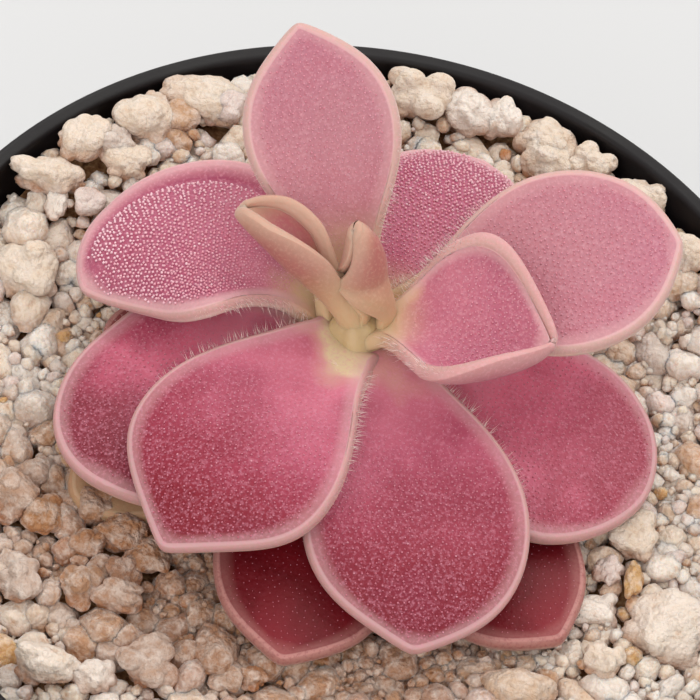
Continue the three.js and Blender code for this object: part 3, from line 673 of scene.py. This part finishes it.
def make_glands(name, leaf, material, rng):
    """Glands on a jittered lattice over the unrolled blade, clear of its margins. Each is a pear
    of eight faces, an octahedron with its waist near the upper end. Each drop's whiteness comes
    from its own paleness and from painted highlights where it would catch the light."""
    spacing = leaf.dew
    wet = spacing < COMMON["dew"]
    reach, length = leaf.width / 2, leaf.length
    x, y = np.meshgrid(
        np.arange(-reach, reach, spacing),
        np.arange(GLAND_FOOT * length, length, LATTICE_ROW * spacing), indexing="ij")
    odd = 0.5 * (np.arange(x.shape[1]) % 2)[None]
    x = x + spacing * (odd + rng.uniform(-JITTER, JITTER, x.shape))
    y = y + spacing * rng.uniform(-JITTER, JITTER, y.shape)
    t = np.clip(y / length, 0, 1)
    half = half_width(leaf, t, x)
    clear = np.where(x >= 0, *leaf.clear) * rng.uniform(0.8, 1.2, x.shape)
    keep = np.minimum(half - np.abs(x), (1 - t) * length) > clear + FACE_INSET
    t, u = t[keep], (x / np.maximum(half, 0.1))[keep]
    middle, out = blade(leaf, t, u)
    # Painted highlight: a few drops, the ridge beside a groove and the outer part of a wet leaf are
    # whiter where they would catch the light.
    gleam = (rng.random(len(t)) < GLINT_SHARE).astype(float)
    gleam = np.maximum(gleam, rng.uniform(0, 0.5, len(t)))
    ridge_glint = (1 - np.abs(u)) * half_width(leaf, t, u) - leaf.clear[1]
    ridge_glint = np.exp(-(ridge_glint / RIDGE_GLINT_WIDTH) ** 2) * (u < 0) * (leaf.groove > 0)
    if wet:
        gleam = gleam + 0.4 * smooth_step(t, 0.45, 0.9)
    else:
        gleam = gleam + 0.6 * (leaf.flesh in PALE_FLESH) + 0.5 * (1 - smooth_step(t, 0.3, 0.7))
    gleam = np.clip(gleam + 0.6 * ridge_glint, 0, 1)
    sizes = rng.uniform(*leaf.bead, len(t)) * mix(0.5, 1, smooth_step(t, 0.2, 0.6))
    shape, faces = sphere(1)
    shape = np.where(shape[:, 2:] < -0.5, [0, 0, -1.2], shape + [0, 0, 0.6])
    frames = frames_on(unit(out + GLAND_TILT * rng.normal(size=out.shape)), rng)
    points, faces = copies(shape, faces, middle + out * LEAF_THICKNESS / 2, frames, sizes)
    make_piece(
        name, points, faces, material, leaf.slot, gleam=np.repeat(gleam, len(shape)))


def make_fringe(name, leaves, material, rng):
    """Hairs along both margins of each leaf's lower half, each a slim three-sided pyramid."""
    x, y, z = turned([(HAIR_RADIUS, -0.06)], 3)
    shape = np.concatenate([np.stack([x[0], y[0], z[0]], -1), [[0, 0, 1]]])
    faces = np.array([(0, 1, 3), (1, 2, 3), (2, 0, 3), (2, 1, 0)])
    centres, ways, sizes = [], [], []
    for leaf in leaves:
        count = int(leaf.length * HAIR_SHARE / HAIR_SPACING)
        for sign in (1.0, -1.0):
            t = np.sort(rng.uniform(0.04, HAIR_SHARE, count))
            side = np.full(count, sign * 0.999)
            edge, out = blade(leaf, t, side)
            ahead, _ = blade(leaf, t + 0.01, side)
            away = unit(np.cross(out, ahead - edge) * sign)
            drop = rng.uniform(-0.35, 0.42, (count, 1))
            centres.append(edge + out * drop + away * HAIR_ROOT)
            ways.append(unit(away + out * (drop + rng.uniform(-0.2, 0.5, (count, 1)))
                             + HAIR_SPREAD * rng.normal(size=(count, 3))))
            fade = np.clip((HAIR_SHARE + 0.04 - t) / 0.3, 0.3, 1)
            sizes.append(rng.uniform(0.4, 0.9, count) * fade)
    centres, ways, sizes = (np.concatenate(part) for part in (centres, ways, sizes))
    points, faces = copies(shape, faces, centres, frames_on(ways, rng), sizes)
    make_piece(name, points, faces, material, "leaf_red")


# ---- grit ----
# The tones of the stones, and each one's share of those that are dropped at random.
TONES = {
    "white": ("#ece3da", 0.24), "cream": ("#e2d2c0", 0.24), "chalk": ("#e6d9cb", 0.18),
    "grey": ("#d2c4ba", 0.1), "lilac": ("#dccbc5", 0.08), "beige": ("#d2b9a2", 0.1),
    "tan": ("#c29c7c", 0.04), "ochre": ("#c9a06a", 0.02), "orange": ("#c68a58", 0.005),
}
# The largest stones: x, y, half length along X, half length along Y, tone.
BIG_STONES = [
    (21.5, -8.5, 2.7, 2.5, "chalk"), (18.5, -2, 1.7, 1.7, "cream"), (17, -7.5, 1.7, 1.3, "white"),
    (17.5, -5, 1, 1, "lilac"), (19, -5.5, 0.7, 1.3, "ochre"), (18, -11.5, 1.3, 1.2, "cream"),
    (13, -14.5, 2.3, 1.7, "beige"), (-15.5, -19, 2.1, 1.3, "chalk"), (-12, -13.5, 1.9, 1, "white"),
    (-9.5, -17.5, 1.8, 1.7, "grey"), (-5.5, -15.5, 1.6, 1.9, "grey"), (-3, -17, 0.9, 0.8, "orange"),
    (-12, -11.5, 1.2, 1.2, "lilac"), (-14.5, -10, 1.1, 1.2, "tan"), (-19.5, -7.5, 1.6, 2, "white"),
    (-17.5, -8.5, 1.5, 1.3, "ochre"), (-18, -13.5, 1.5, 1.5, "grey"),
    (-14.5, -13, 1.3, 1.5, "beige"), (-12.5, -19, 1.3, 1.2, "white"),
    (-16.5, 21, 2.3, 2.3, "cream"), (-13.5, 24, 2.9, 1.7, "cream"),
    (-11.5, 22.5, 1.7, 1.7, "lilac"), (-14.5, 21, 1.3, 1.3, "tan"), (-20, 18, 1.6, 2, "cream"),
    (-18, 18, 1.5, 1.3, "grey"), (-22.5, 15.5, 2.3, 1.3, "cream"), (-19, 14, 1.1, 1.1, "lilac"),
    (-21, 13.5, 0.9, 1.1, "white"), (-22, 9, 2.4, 2.4, "cream"), (-17, 17, 1.5, 1.3, "cream"),
    (4, 26.2, 1.9, 1.9, "white"), (6.2, 26.4, 1.3, 1.7, "white"), (0.5, 26.4, 2.3, 1.9, "cream"),
    (9.5, 25.6, 2.2, 1.6, "cream"), (9.5, 23.6, 1.7, 1.6, "cream"), (12.5, 24.6, 1.4, 1.4, "cream"),
    (16, 22.5, 2.1, 1.8, "cream"), (19.5, 18.5, 1.3, 1.5, "cream"), (21.5, 16.5, 1.5, 1.4, "white"),
    (-12.6, -8.8, 1.7, 1.3, "tan"), (-14.4, -7.2, 1.5, 1.3, "beige"), (-10.6, -10, 1.6, 1.3, "tan"),
]
# The stones dropped between them, lot by lot: how many, half sizes, top against STONE_TOP, cuts
# along an edge of the ball, knobs, and the meshes that share them, with material and roughness.
LOTS = [
    (1100, (0.6, 1.6), 0.3, 5, 1.0,
     [("stones_milky", "milky", 1.2), ("stones_glassy", "glassy", 1.0)]),
    (2400, (0.35, 0.72), -0.35, 3, 0.9,
     [("gravel_milky", "milky", 1.0), ("gravel_glassy", "glassy", 1.0)]),
    (1300, (0.18, 0.36), -0.3, 2, 0.5, [("crumbs", "milky", 1.0)]),
]
BED_LEVEL = -4.6  # of the packed sand, from the rim
STONE_TOP = -2.3  # usual top of the stones, before the heap at the back
BIG_TOP = -1.3  # highest top of a large one, before the heap
HIGHEST_TOP = 1.9  # of any stone, from the rim
BACK_RISE = 3.1  # the grit is heaped up this much at the back of the pot
CELL = 0.2  # side of a cell of the bed
LEAF_GAP = 0.12  # clear height between a stone and a leaf
TRIES = 7  # places from which a dropped stone takes the deepest
PLANES = 12  # that a stone is broken along
PLANE_REACH = (0.66, 1.0)  # their distances from its middle
SOFT_LEAST = 14  # power that rounds its edges
KNOBS = 18
KNOB_REACH = (0.4, 0.76)  # distances of the knobs' middles from the stone's
KNOB_RADIUS = (0.18, 0.44)
CLUSTER_LEAST = 0.62  # a cluster of knobs has no hollow deeper than this
LONGEST = 1.25  # no point of a stone stands out farther than this
MEAN_RADIUS = 0.92  # of a stone with half sizes of 1
BED_GAP = 0.3  # between the sand and the pot
BED_SINK = 0.3  # of the sand's drawn top below BED_LEVEL
BED_WAVE = 0.25  # height of its waves
BED_WAVED = 26  # radius that they reach
BED_COLUMNS = 120
# Warm browns of painted shade: in the gaps, on each stone's lower half, and in the front leaves'
# shadow.
GAP_SHADE_BROWN, LEAF_SHADOW_BROWN = (np.array(srgb(code)[:3]) for code in ("#a86a3e", "#9e6c46"))
SHADE_SHARE = 0.85  # how far the painted shade in the gaps and the front leaves' painted shadow cover a stone's own tone


def inside_radius(height):
    return RIM_RADIUS - LIP_WIDTH - WALL_SLOPE * (RIM_HEIGHT - height)


def back_rise(x, y):
    """How much higher the grit lies here than at the front: a smooth step along Y, in part lost
    again towards +X."""
    return BACK_RISE * smooth_step(y, 6, 20) * mix(1, 0.6, smooth_step(x, -4, 10))


def stone_shapes(level, count, rng, knobs, rough):
    """Broken, half fused lumps. The radius is the soft least of the distances to random planes,
    six of them near a box's sides, with a few slow waves. knobs, 0 to 1, turns it towards a
    cluster of balls: the farthest place where a ray from the middle leaves one."""
    way, faces = sphere(level)
    planes = unit(rng.normal(size=(count, PLANES, 3)))
    planes[:, :6] = unit(np.concatenate([np.eye(3), -np.eye(3)])[None]
                         + 0.35 * rng.normal(size=(count, 6, 3)))
    distance = rng.uniform(*PLANE_REACH, (count, PLANES))
    facing = np.maximum(np.einsum("vk,npk->nvp", way, planes), 0) / distance[:, None]
    radius = np.minimum((facing ** SOFT_LEAST).sum(-1) ** (-1 / SOFT_LEAST), LONGEST)
    for waves, size in ((3.0, 0.06), (7.0, 0.04 * rough), (15.0, 0.028 * rough)):
        turns = rng.normal(size=(count, 3, 3)) * waves
        phase = rng.uniform(0, math.tau, (count, 1, 3))
        radius += size * np.sin(np.einsum("vk,njk->nvj", way, turns) + phase).mean(-1) * 1.7
    middles = unit(rng.normal(size=(count, KNOBS, 3)))
    middles = middles * rng.uniform(*KNOB_REACH, (count, KNOBS, 1))
    balls = rng.uniform(*KNOB_RADIUS, (count, 1, KNOBS))
    ahead = np.einsum("vk,npk->nvp", way, middles)
    under_root = balls ** 2 - (middles ** 2).sum(-1)[:, None] + ahead ** 2
    met = (under_root > 0) & (ahead > 0)
    leaving = np.where(met, ahead + np.sqrt(np.maximum(under_root, 0)), 0)
    cluster = np.maximum(leaving.max(-1), CLUSTER_LEAST)
    share = knobs * rng.uniform(0.4, 1.0, (count, 1))
    radius = mix(radius, np.minimum(cluster, 1.08 * radius), share)
    radius *= MEAN_RADIUS / radius.mean(1, keepdims=True)
    return way[None] * radius[..., None], faces


def leaf_ceiling(leaves):
    """Height of the lowest leaf surface over each cell of the bed, widened by two cells."""
    size = int(2 * RIM_RADIUS / CELL)
    ceiling = np.full((size, size), 99.0)
    t, u = np.meshgrid(np.linspace(0, 1, 160), np.linspace(-1, 1, 120), indexing="ij")
    for leaf in leaves:
        middle, out = blade(leaf, t, u)
        below = (middle - out * LEAF_THICKNESS / 2).reshape(-1, 3)
        cell = ((below[:, :2] + RIM_RADIUS) / CELL).astype(int)
        np.minimum.at(ceiling, (cell[:, 0], cell[:, 1]), below[:, 2] - RIM_HEIGHT - LEAF_GAP)
    for axis in (0, 1):
        shifted = [np.roll(ceiling, step, axis) for step in (-2, -1, 0, 1, 2)]
        ceiling = np.minimum.reduce(shifted)
    return ceiling


class Bed:
    """The heap of stones, as a height over each cell. A stone settles on the mean height under
    it, and is refused where it would touch a leaf or stand too high. One that would reach past
    the wall is pulled in."""

    def __init__(self, ceiling):
        self.middles = np.arange(len(ceiling)) * CELL + CELL / 2 - RIM_RADIUS
        self.height = BED_LEVEL + back_rise(self.middles[:, None], self.middles[None])
        self.ceiling = ceiling

    def settle(self, x, y, half, top_limit, must=False):
        """Gives the stone's middle and half sizes, or None. must: it is let down until it fits,
        where another would be refused."""
        a, b, c = half
        reach = inside_radius(RIM_HEIGHT + min(0, top_limit + back_rise(x, y)) - c) + 0.1
        far = math.hypot(x, y)
        outward = math.hypot(a * x, b * y) / far
        if far + outward > reach:
            pull = (reach - outward) / far
            x, y = x * pull, y * pull
        top_limit = min(HIGHEST_TOP, top_limit + back_rise(x, y))
        wide = max(a, b)
        low = [max(0, int((v - wide + RIM_RADIUS) / CELL)) for v in (x, y)]
        high = [int((v + wide + RIM_RADIUS) / CELL) + 1 for v in (x, y)]
        box = (slice(low[0], high[0]), slice(low[1], high[1]))
        xs, ys = (self.middles[cells] for cells in box)
        share = ((xs - x)[:, None] / a) ** 2 + ((ys - y)[None] / b) ** 2
        inner = share < 1
        if not inner.any():
            return None
        dome = np.sqrt(np.clip(1 - share, 0, 1)) * c
        z = self.height[box][inner].mean()
        room = (self.ceiling[box] - dome)[inner].min()
        if must:
            z = min(top_limit - c, room)
        elif z + c > top_limit or z > room:
            return None
        raised = np.maximum(self.height[box], z + 0.8 * dome)
        self.height[box] = np.where(inner, raised, self.height[box])
        return x, y, z, a, b, c

    def fill(self, count, sizes, rng, top):
        """Drop stones, each in the deepest of a few random places."""
        rows = []
        for _ in range(count):
            half = rng.uniform(*sizes)
            shape = half * rng.uniform((0.85, 0.75, 0.65), (1.2, 1.1, 0.95))
            radius = (inside_radius(RIM_HEIGHT + top) - half) * np.sqrt(rng.random(TRIES))
            angle = rng.uniform(0, math.tau, TRIES)
            x, y = radius * np.cos(angle), radius * np.sin(angle)
            cell = tuple(((np.stack([x, y]) + RIM_RADIUS) / CELL).astype(int))
            limit = np.minimum(top + back_rise(x, y), self.ceiling[cell])
            best = int(np.argmax(limit - self.height[cell]))
            rows.append(self.settle(x[best], y[best], shape, top + rng.uniform(-0.5, 0.35)))
        return np.array([row for row in rows if row])


def pick_tones(count, rng):
    shares = np.array([share for _, share in TONES.values()])
    which = rng.choice(len(TONES), count, p=shares / shares.sum())
    table = np.array([srgb(code)[:3] for code, _ in TONES.values()])
    return table[which] * rng.uniform(0.88, 1.06, (count, 1))


def paint_leaf_shadow(tones, x, y):
    """Painted shadow: the grit by the front leaves, which they shade, is tinted brown, fading
    towards the pot's wall.
    """
    far = np.hypot(x - CROWN[0], y - CROWN[1])
    share = (1 - smooth_step(far, 21, 29)) * smooth_step(-y, -2, 8) * (1 - smooth_step(x, 8, 14))
    return mix(tones, LEAF_SHADOW_BROWN, SHADE_SHARE * share[:, None])


def make_stones(name, rows, tones, level, material, rng, knobs, rough, turning=True):
    """Stones in one mesh, each a lump scaled to its half sizes and turned. Warm brown paints the
    shade over its lower half, where the gaps are, and the front leaves' shadow near them."""
    shapes, faces = stone_shapes(level, len(rows), rng, knobs, rough)
    # Painted shade: warm brown over the lower half of each stone, which lies in the shaded gaps.
    gap_shade = SHADE_SHARE * (1 - smooth_step(shapes[..., 2:], -0.35, 0.75))
    # Painted shadow of the front leaves on the grit under them.
    tones = mix(paint_leaf_shadow(tones, rows[:, 0], rows[:, 1])[:, None], GAP_SHADE_BROWN, gap_shade)
    shapes = shapes * rows[:, None, 3:6]
    turn = rng.uniform(0, math.tau, len(rows)) if turning else np.zeros(len(rows))
    c, s = np.cos(turn)[:, None], np.sin(turn)[:, None]
    x, y = shapes[..., 0] * c - shapes[..., 1] * s, shapes[..., 0] * s + shapes[..., 1] * c
    centres = rows[:, None, :3] + [0, 0, RIM_HEIGHT]
    points = (np.stack([x, y, shapes[..., 2]], -1) + centres).reshape(-1, 3)
    make_piece(
        name, points, repeated(faces, len(rows), shapes.shape[1]), material, "quartz_grit",
        tone=tones.reshape(-1, 3))


def make_bed(material):
    """The packed sand under the stones, whose top is gently waved and rises to the back."""
    foot = FLOOR + BED_GAP
    top = RIM_HEIGHT + BED_LEVEL - BED_SINK
    side = [(inside_radius(foot) - BED_GAP, foot), (inside_radius(top) - BED_GAP / 2, top)]
    inner = [(r, top) for r in np.linspace(BED_WAVED, 1, BED_WAVED)]
    x, y, z = turned([(0.0, foot), *side, *inner, (0.0, top)], BED_COLUMNS)
    wave = BED_WAVE * np.sin(0.9 * x + 0.5) * np.cos(0.8 * y - 0.3)
    wave = wave * (np.hypot(x, y) < BED_WAVED + 0.5)
    z = z + np.where(z > top - 0.1, wave + back_rise(x, y), 0)
    make_turned("grit_bed", "grit", (x, y, z), material, "quartz_grit")


# ---- pot and crown ----
POT_COLUMNS = 240
ARC_STEPS = 6
FOOT_ROUND, BAND_ROUND, LIP_ROUND = 0.35, 0.25, 0.4
BAND_INSET = 0.2  # the band under the lip stands this far inside it


def arc(centre, radius, start, end):
    turn = np.radians(np.linspace(start, end, ARC_STEPS))
    return [(centre[0] + radius * math.cos(a), centre[1] + radius * math.sin(a)) for a in turn]


def make_pot(material):
    """The wall turned about its axis, with rounded lip, band and foot, and drain holes cut
    through the floor."""
    band = RIM_HEIGHT - RIM_BAND
    lip = RIM_HEIGHT - LIP_ROUND
    outside = [inside_radius(h) + POT_WALL for h in (0.0, band)]
    profile = [(0, 0)]
    profile += arc((outside[0] - FOOT_ROUND, FOOT_ROUND), FOOT_ROUND, -90, -10)
    profile += [(outside[1], band)]
    profile += arc((RIM_RADIUS - BAND_INSET - BAND_ROUND, band + BAND_ROUND), BAND_ROUND, -90, 0)
    profile += arc((RIM_RADIUS - LIP_ROUND, lip), LIP_ROUND, 0, 90)
    profile += arc((RIM_RADIUS - LIP_WIDTH + LIP_ROUND, lip), LIP_ROUND, 90, 180)
    profile += [(inside_radius(FLOOR), FLOOR), (0, FLOOR)]
    pot = make_turned("nursery_pot", "pot", turned(profile, POT_COLUMNS), material, "pot_plastic")
    for k in range(DRAIN_COUNT):
        angle = math.tau * k / DRAIN_COUNT
        place = (DRAIN_CIRCLE * math.cos(angle) * MM, DRAIN_CIRCLE * math.sin(angle) * MM, MM)
        bpy.ops.mesh.primitive_cylinder_add(
            vertices=32, radius=DRAIN_RADIUS * MM, depth=6 * MM, location=place)
        drill = bpy.context.active_object
        pot.modifiers.new("drain", "BOOLEAN").object = drill
        bpy.context.view_layer.objects.active = pot
        bpy.ops.object.modifier_apply(modifier="drain")
        bpy.data.objects.remove(drill)
    for face in pot.data.polygons:
        face.use_smooth = abs(face.normal.z) <= 0.999


# The stem's outline up to the heart, which the fused leaf feet swell: radius, height from the rim.
CROWN_PROFILE = [
    (0.0, -12), (1.0, -12), (1.8, -9), (2.05, -3), (2.2, -1), (2.45, 0.6), (2.5, 2.2),
    (2.25, 3.4), (1.75, 4.2), (1.1, 4.9), (0.4, 5.2), (0.0, 5.2),
]
CROWN_RINGS, CROWN_COLUMNS = 90, 64
RIBS = 5
RIB_DEPTH = 0.06
RIB_TWIST = 1.7  # radians for each millimetre of height


def make_crown(material):
    """The short stem, turned from its outline and ribbed in a spiral by its leaf bases."""
    radius, height = np.array(CROWN_PROFILE, float).T
    run = np.concatenate([[0], np.cumsum(np.hypot(np.diff(height), np.diff(radius)))])
    place = np.linspace(0, run[-1], CROWN_RINGS)
    profile = np.stack([np.interp(place, run, radius), np.interp(place, run, height)], -1)
    x, y, z = turned(profile, CROWN_COLUMNS)
    rib = 1 - RIB_DEPTH * (1 + np.sin(RIBS * np.arctan2(y, x) + RIB_TWIST * z))
    grid = (x * rib + CROWN[0], y * rib + CROWN[1], z + CROWN[2])
    make_turned("crown_stem", "crown", grid, material, "crown_tissue")


# ---- assembly ----
def build_plant():
    flesh = {name: leaf_material(name, *look) for name, look in FLESH.items()}
    heads = gland_material("gland_heads", "#be687c", "#d898aa", 0.5)
    beads = gland_material("mucilage_beads", "#d8889f", "#f2ccd8", 0.12)
    leaves = []
    for number, (name, (row, rest)) in enumerate(LEAVES.items()):
        leaf = SimpleNamespace(**{**COMMON, **dict(zip(COLUMNS, row)), **rest})
        leaf.phase = 1.3 * number
        leaf.slot = FLESH_SLOT.get(leaf.flesh, "leaf_red")
        leaves.append(leaf)
        piece = make_leaf(name.replace("leaf_", "blade_"), leaf, flesh[leaf.flesh])
        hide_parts(name)
        if leaf.dew:
            rng = np.random.default_rng(100 + number)
            wet = beads if leaf.dew < COMMON["dew"] else heads
            make_glands(name.replace("leaf_", "dew_"), leaf, wet, rng)
    living = [leaf for leaf in leaves if leaf.flesh not in ("withered", "young")]
    make_fringe("fringe_hairs", living, hair_material(), np.random.default_rng(7))
    make_crown(crown_material())
    return leaves


def build_grit(leaves):
    rng = np.random.default_rng(23)
    bed = Bed(leaf_ceiling(leaf for leaf in leaves if leaf.flesh != "withered"))
    quartz = {name: stone_material("quartz_" + name, clear) for name, clear in (
        ("glassy", 1.0), ("milky", 0.6), ("chalky", 0.2))}
    rows, tones = [], []
    for x, y, a, b, tone in BIG_STONES:
        top = min(BIG_TOP, STONE_TOP + 0.9 * (max(a, b) - 0.8))
        rows.append(bed.settle(x, y, (a, b, 0.4 * (a + b)), top, must=True))
        tones.append(srgb(TONES[tone][0])[:3])
    make_stones(
        "stones_large", np.array(rows), np.array(tones), 18, quartz["chalky"], rng, 1.0, 1.3,
        turning=False)
    for count, sizes, top, level, knobs, meshes in LOTS:
        rows = bed.fill(count, sizes, rng, STONE_TOP + top)
        tones = pick_tones(len(rows), rng)
        cuts = [len(rows) * k // len(meshes) for k in range(1, len(meshes))]
        for (name, kind, rough), lot, shade in zip(
                meshes, np.split(rows, cuts), np.split(tones, cuts)):
            make_stones(name, lot, shade, level, quartz[kind], rng, knobs, rough)
    make_bed(bed_material())


# ---- floor, light, camera ----
VIEW_HEIGHT = 56.0  # degrees above level
VIEW_ROLL = 10.5
VIEW_DISTANCE = 300.0
VIEW_SCALE = 15.92  # picture points per millimetre at the rim
VIEW_TARGET = (-0.83, 5.8, RIM_HEIGHT)
PICTURE = 700
SENSOR = 36.0
FLOOR_SIZE = 6.0  # in metres


def make_camera():
    data = bpy.data.cameras.new("camera")
    data.sensor_width = SENSOR
    data.lens = SENSOR * VIEW_SCALE * VIEW_DISTANCE / PICTURE
    data.clip_start = 0.01
    camera = add_object("camera", data)
    tilt, roll = math.radians(90 - VIEW_HEIGHT), math.radians(VIEW_ROLL)
    back = np.array([0, -math.sin(tilt), math.cos(tilt)])
    place = (np.array(VIEW_TARGET) + back * VIEW_DISTANCE) * MM
    camera.matrix_world = (
        Matrix.Translation(place) @ Matrix.Rotation(tilt, 4, "X") @ Matrix.Rotation(roll, 4, "Z"))
    bpy.context.scene.camera = camera


def make_floor():
    bpy.ops.mesh.primitive_plane_add(size=FLOOR_SIZE)
    floor = bpy.context.active_object
    floor.name = "floor"
    material, _, shader, _ = new_material("matt_white_board")
    set_inputs(shader, {"Base Color": "#d3d7db", "Roughness": 0.9})
    floor.data.materials.append(material)


def add_lamp(name, place, size, watts, colour):
    """A round lamp at place, turned to the pot."""
    data = bpy.data.lights.new(name, "AREA")
    data.shape = "DISK"
    data.size = size
    data.energy = watts
    data.color = srgb(colour)[:3]
    out = unit(np.array(place) - np.array((0, 0, RIM_HEIGHT * MM)))
    side = unit(np.cross([0.0, 1.0, 0.2], out))
    axes = np.stack([side, np.cross(out, side), out, place], 1)
    add_object(name, data).matrix_world = Matrix([*axes.tolist(), (0, 0, 0, 1)])


def light_scene():
    """In a pale room, a large soft box behind and above the plant to its right, a fainter one in
    front, and a small lamp behind on the left, which sparkles in the drops."""
    world = bpy.data.worlds.new("studio")
    bpy.context.scene.world = world
    world.use_nodes = True
    set_inputs(world.node_tree.nodes["Background"], {"Color": "#f7efe8", "Strength": 0.82})
    add_lamp("back_softbox", (0.25, 0.38, 0.6), 0.7, 2.3, "#fffdf9")
    add_lamp("front_softbox", (-0.12, -0.45, 0.5), 0.8, 1.9, "#fffaf5")
    add_lamp("spark_lamp", (-0.22, 0.5, 0.5), 0.09, 0.7, "#ffffff")
    bpy.context.scene.view_settings.view_transform = "Standard"


make_camera()
make_floor()
light_scene()
make_pot(pot_material())
build_grit(build_plant())
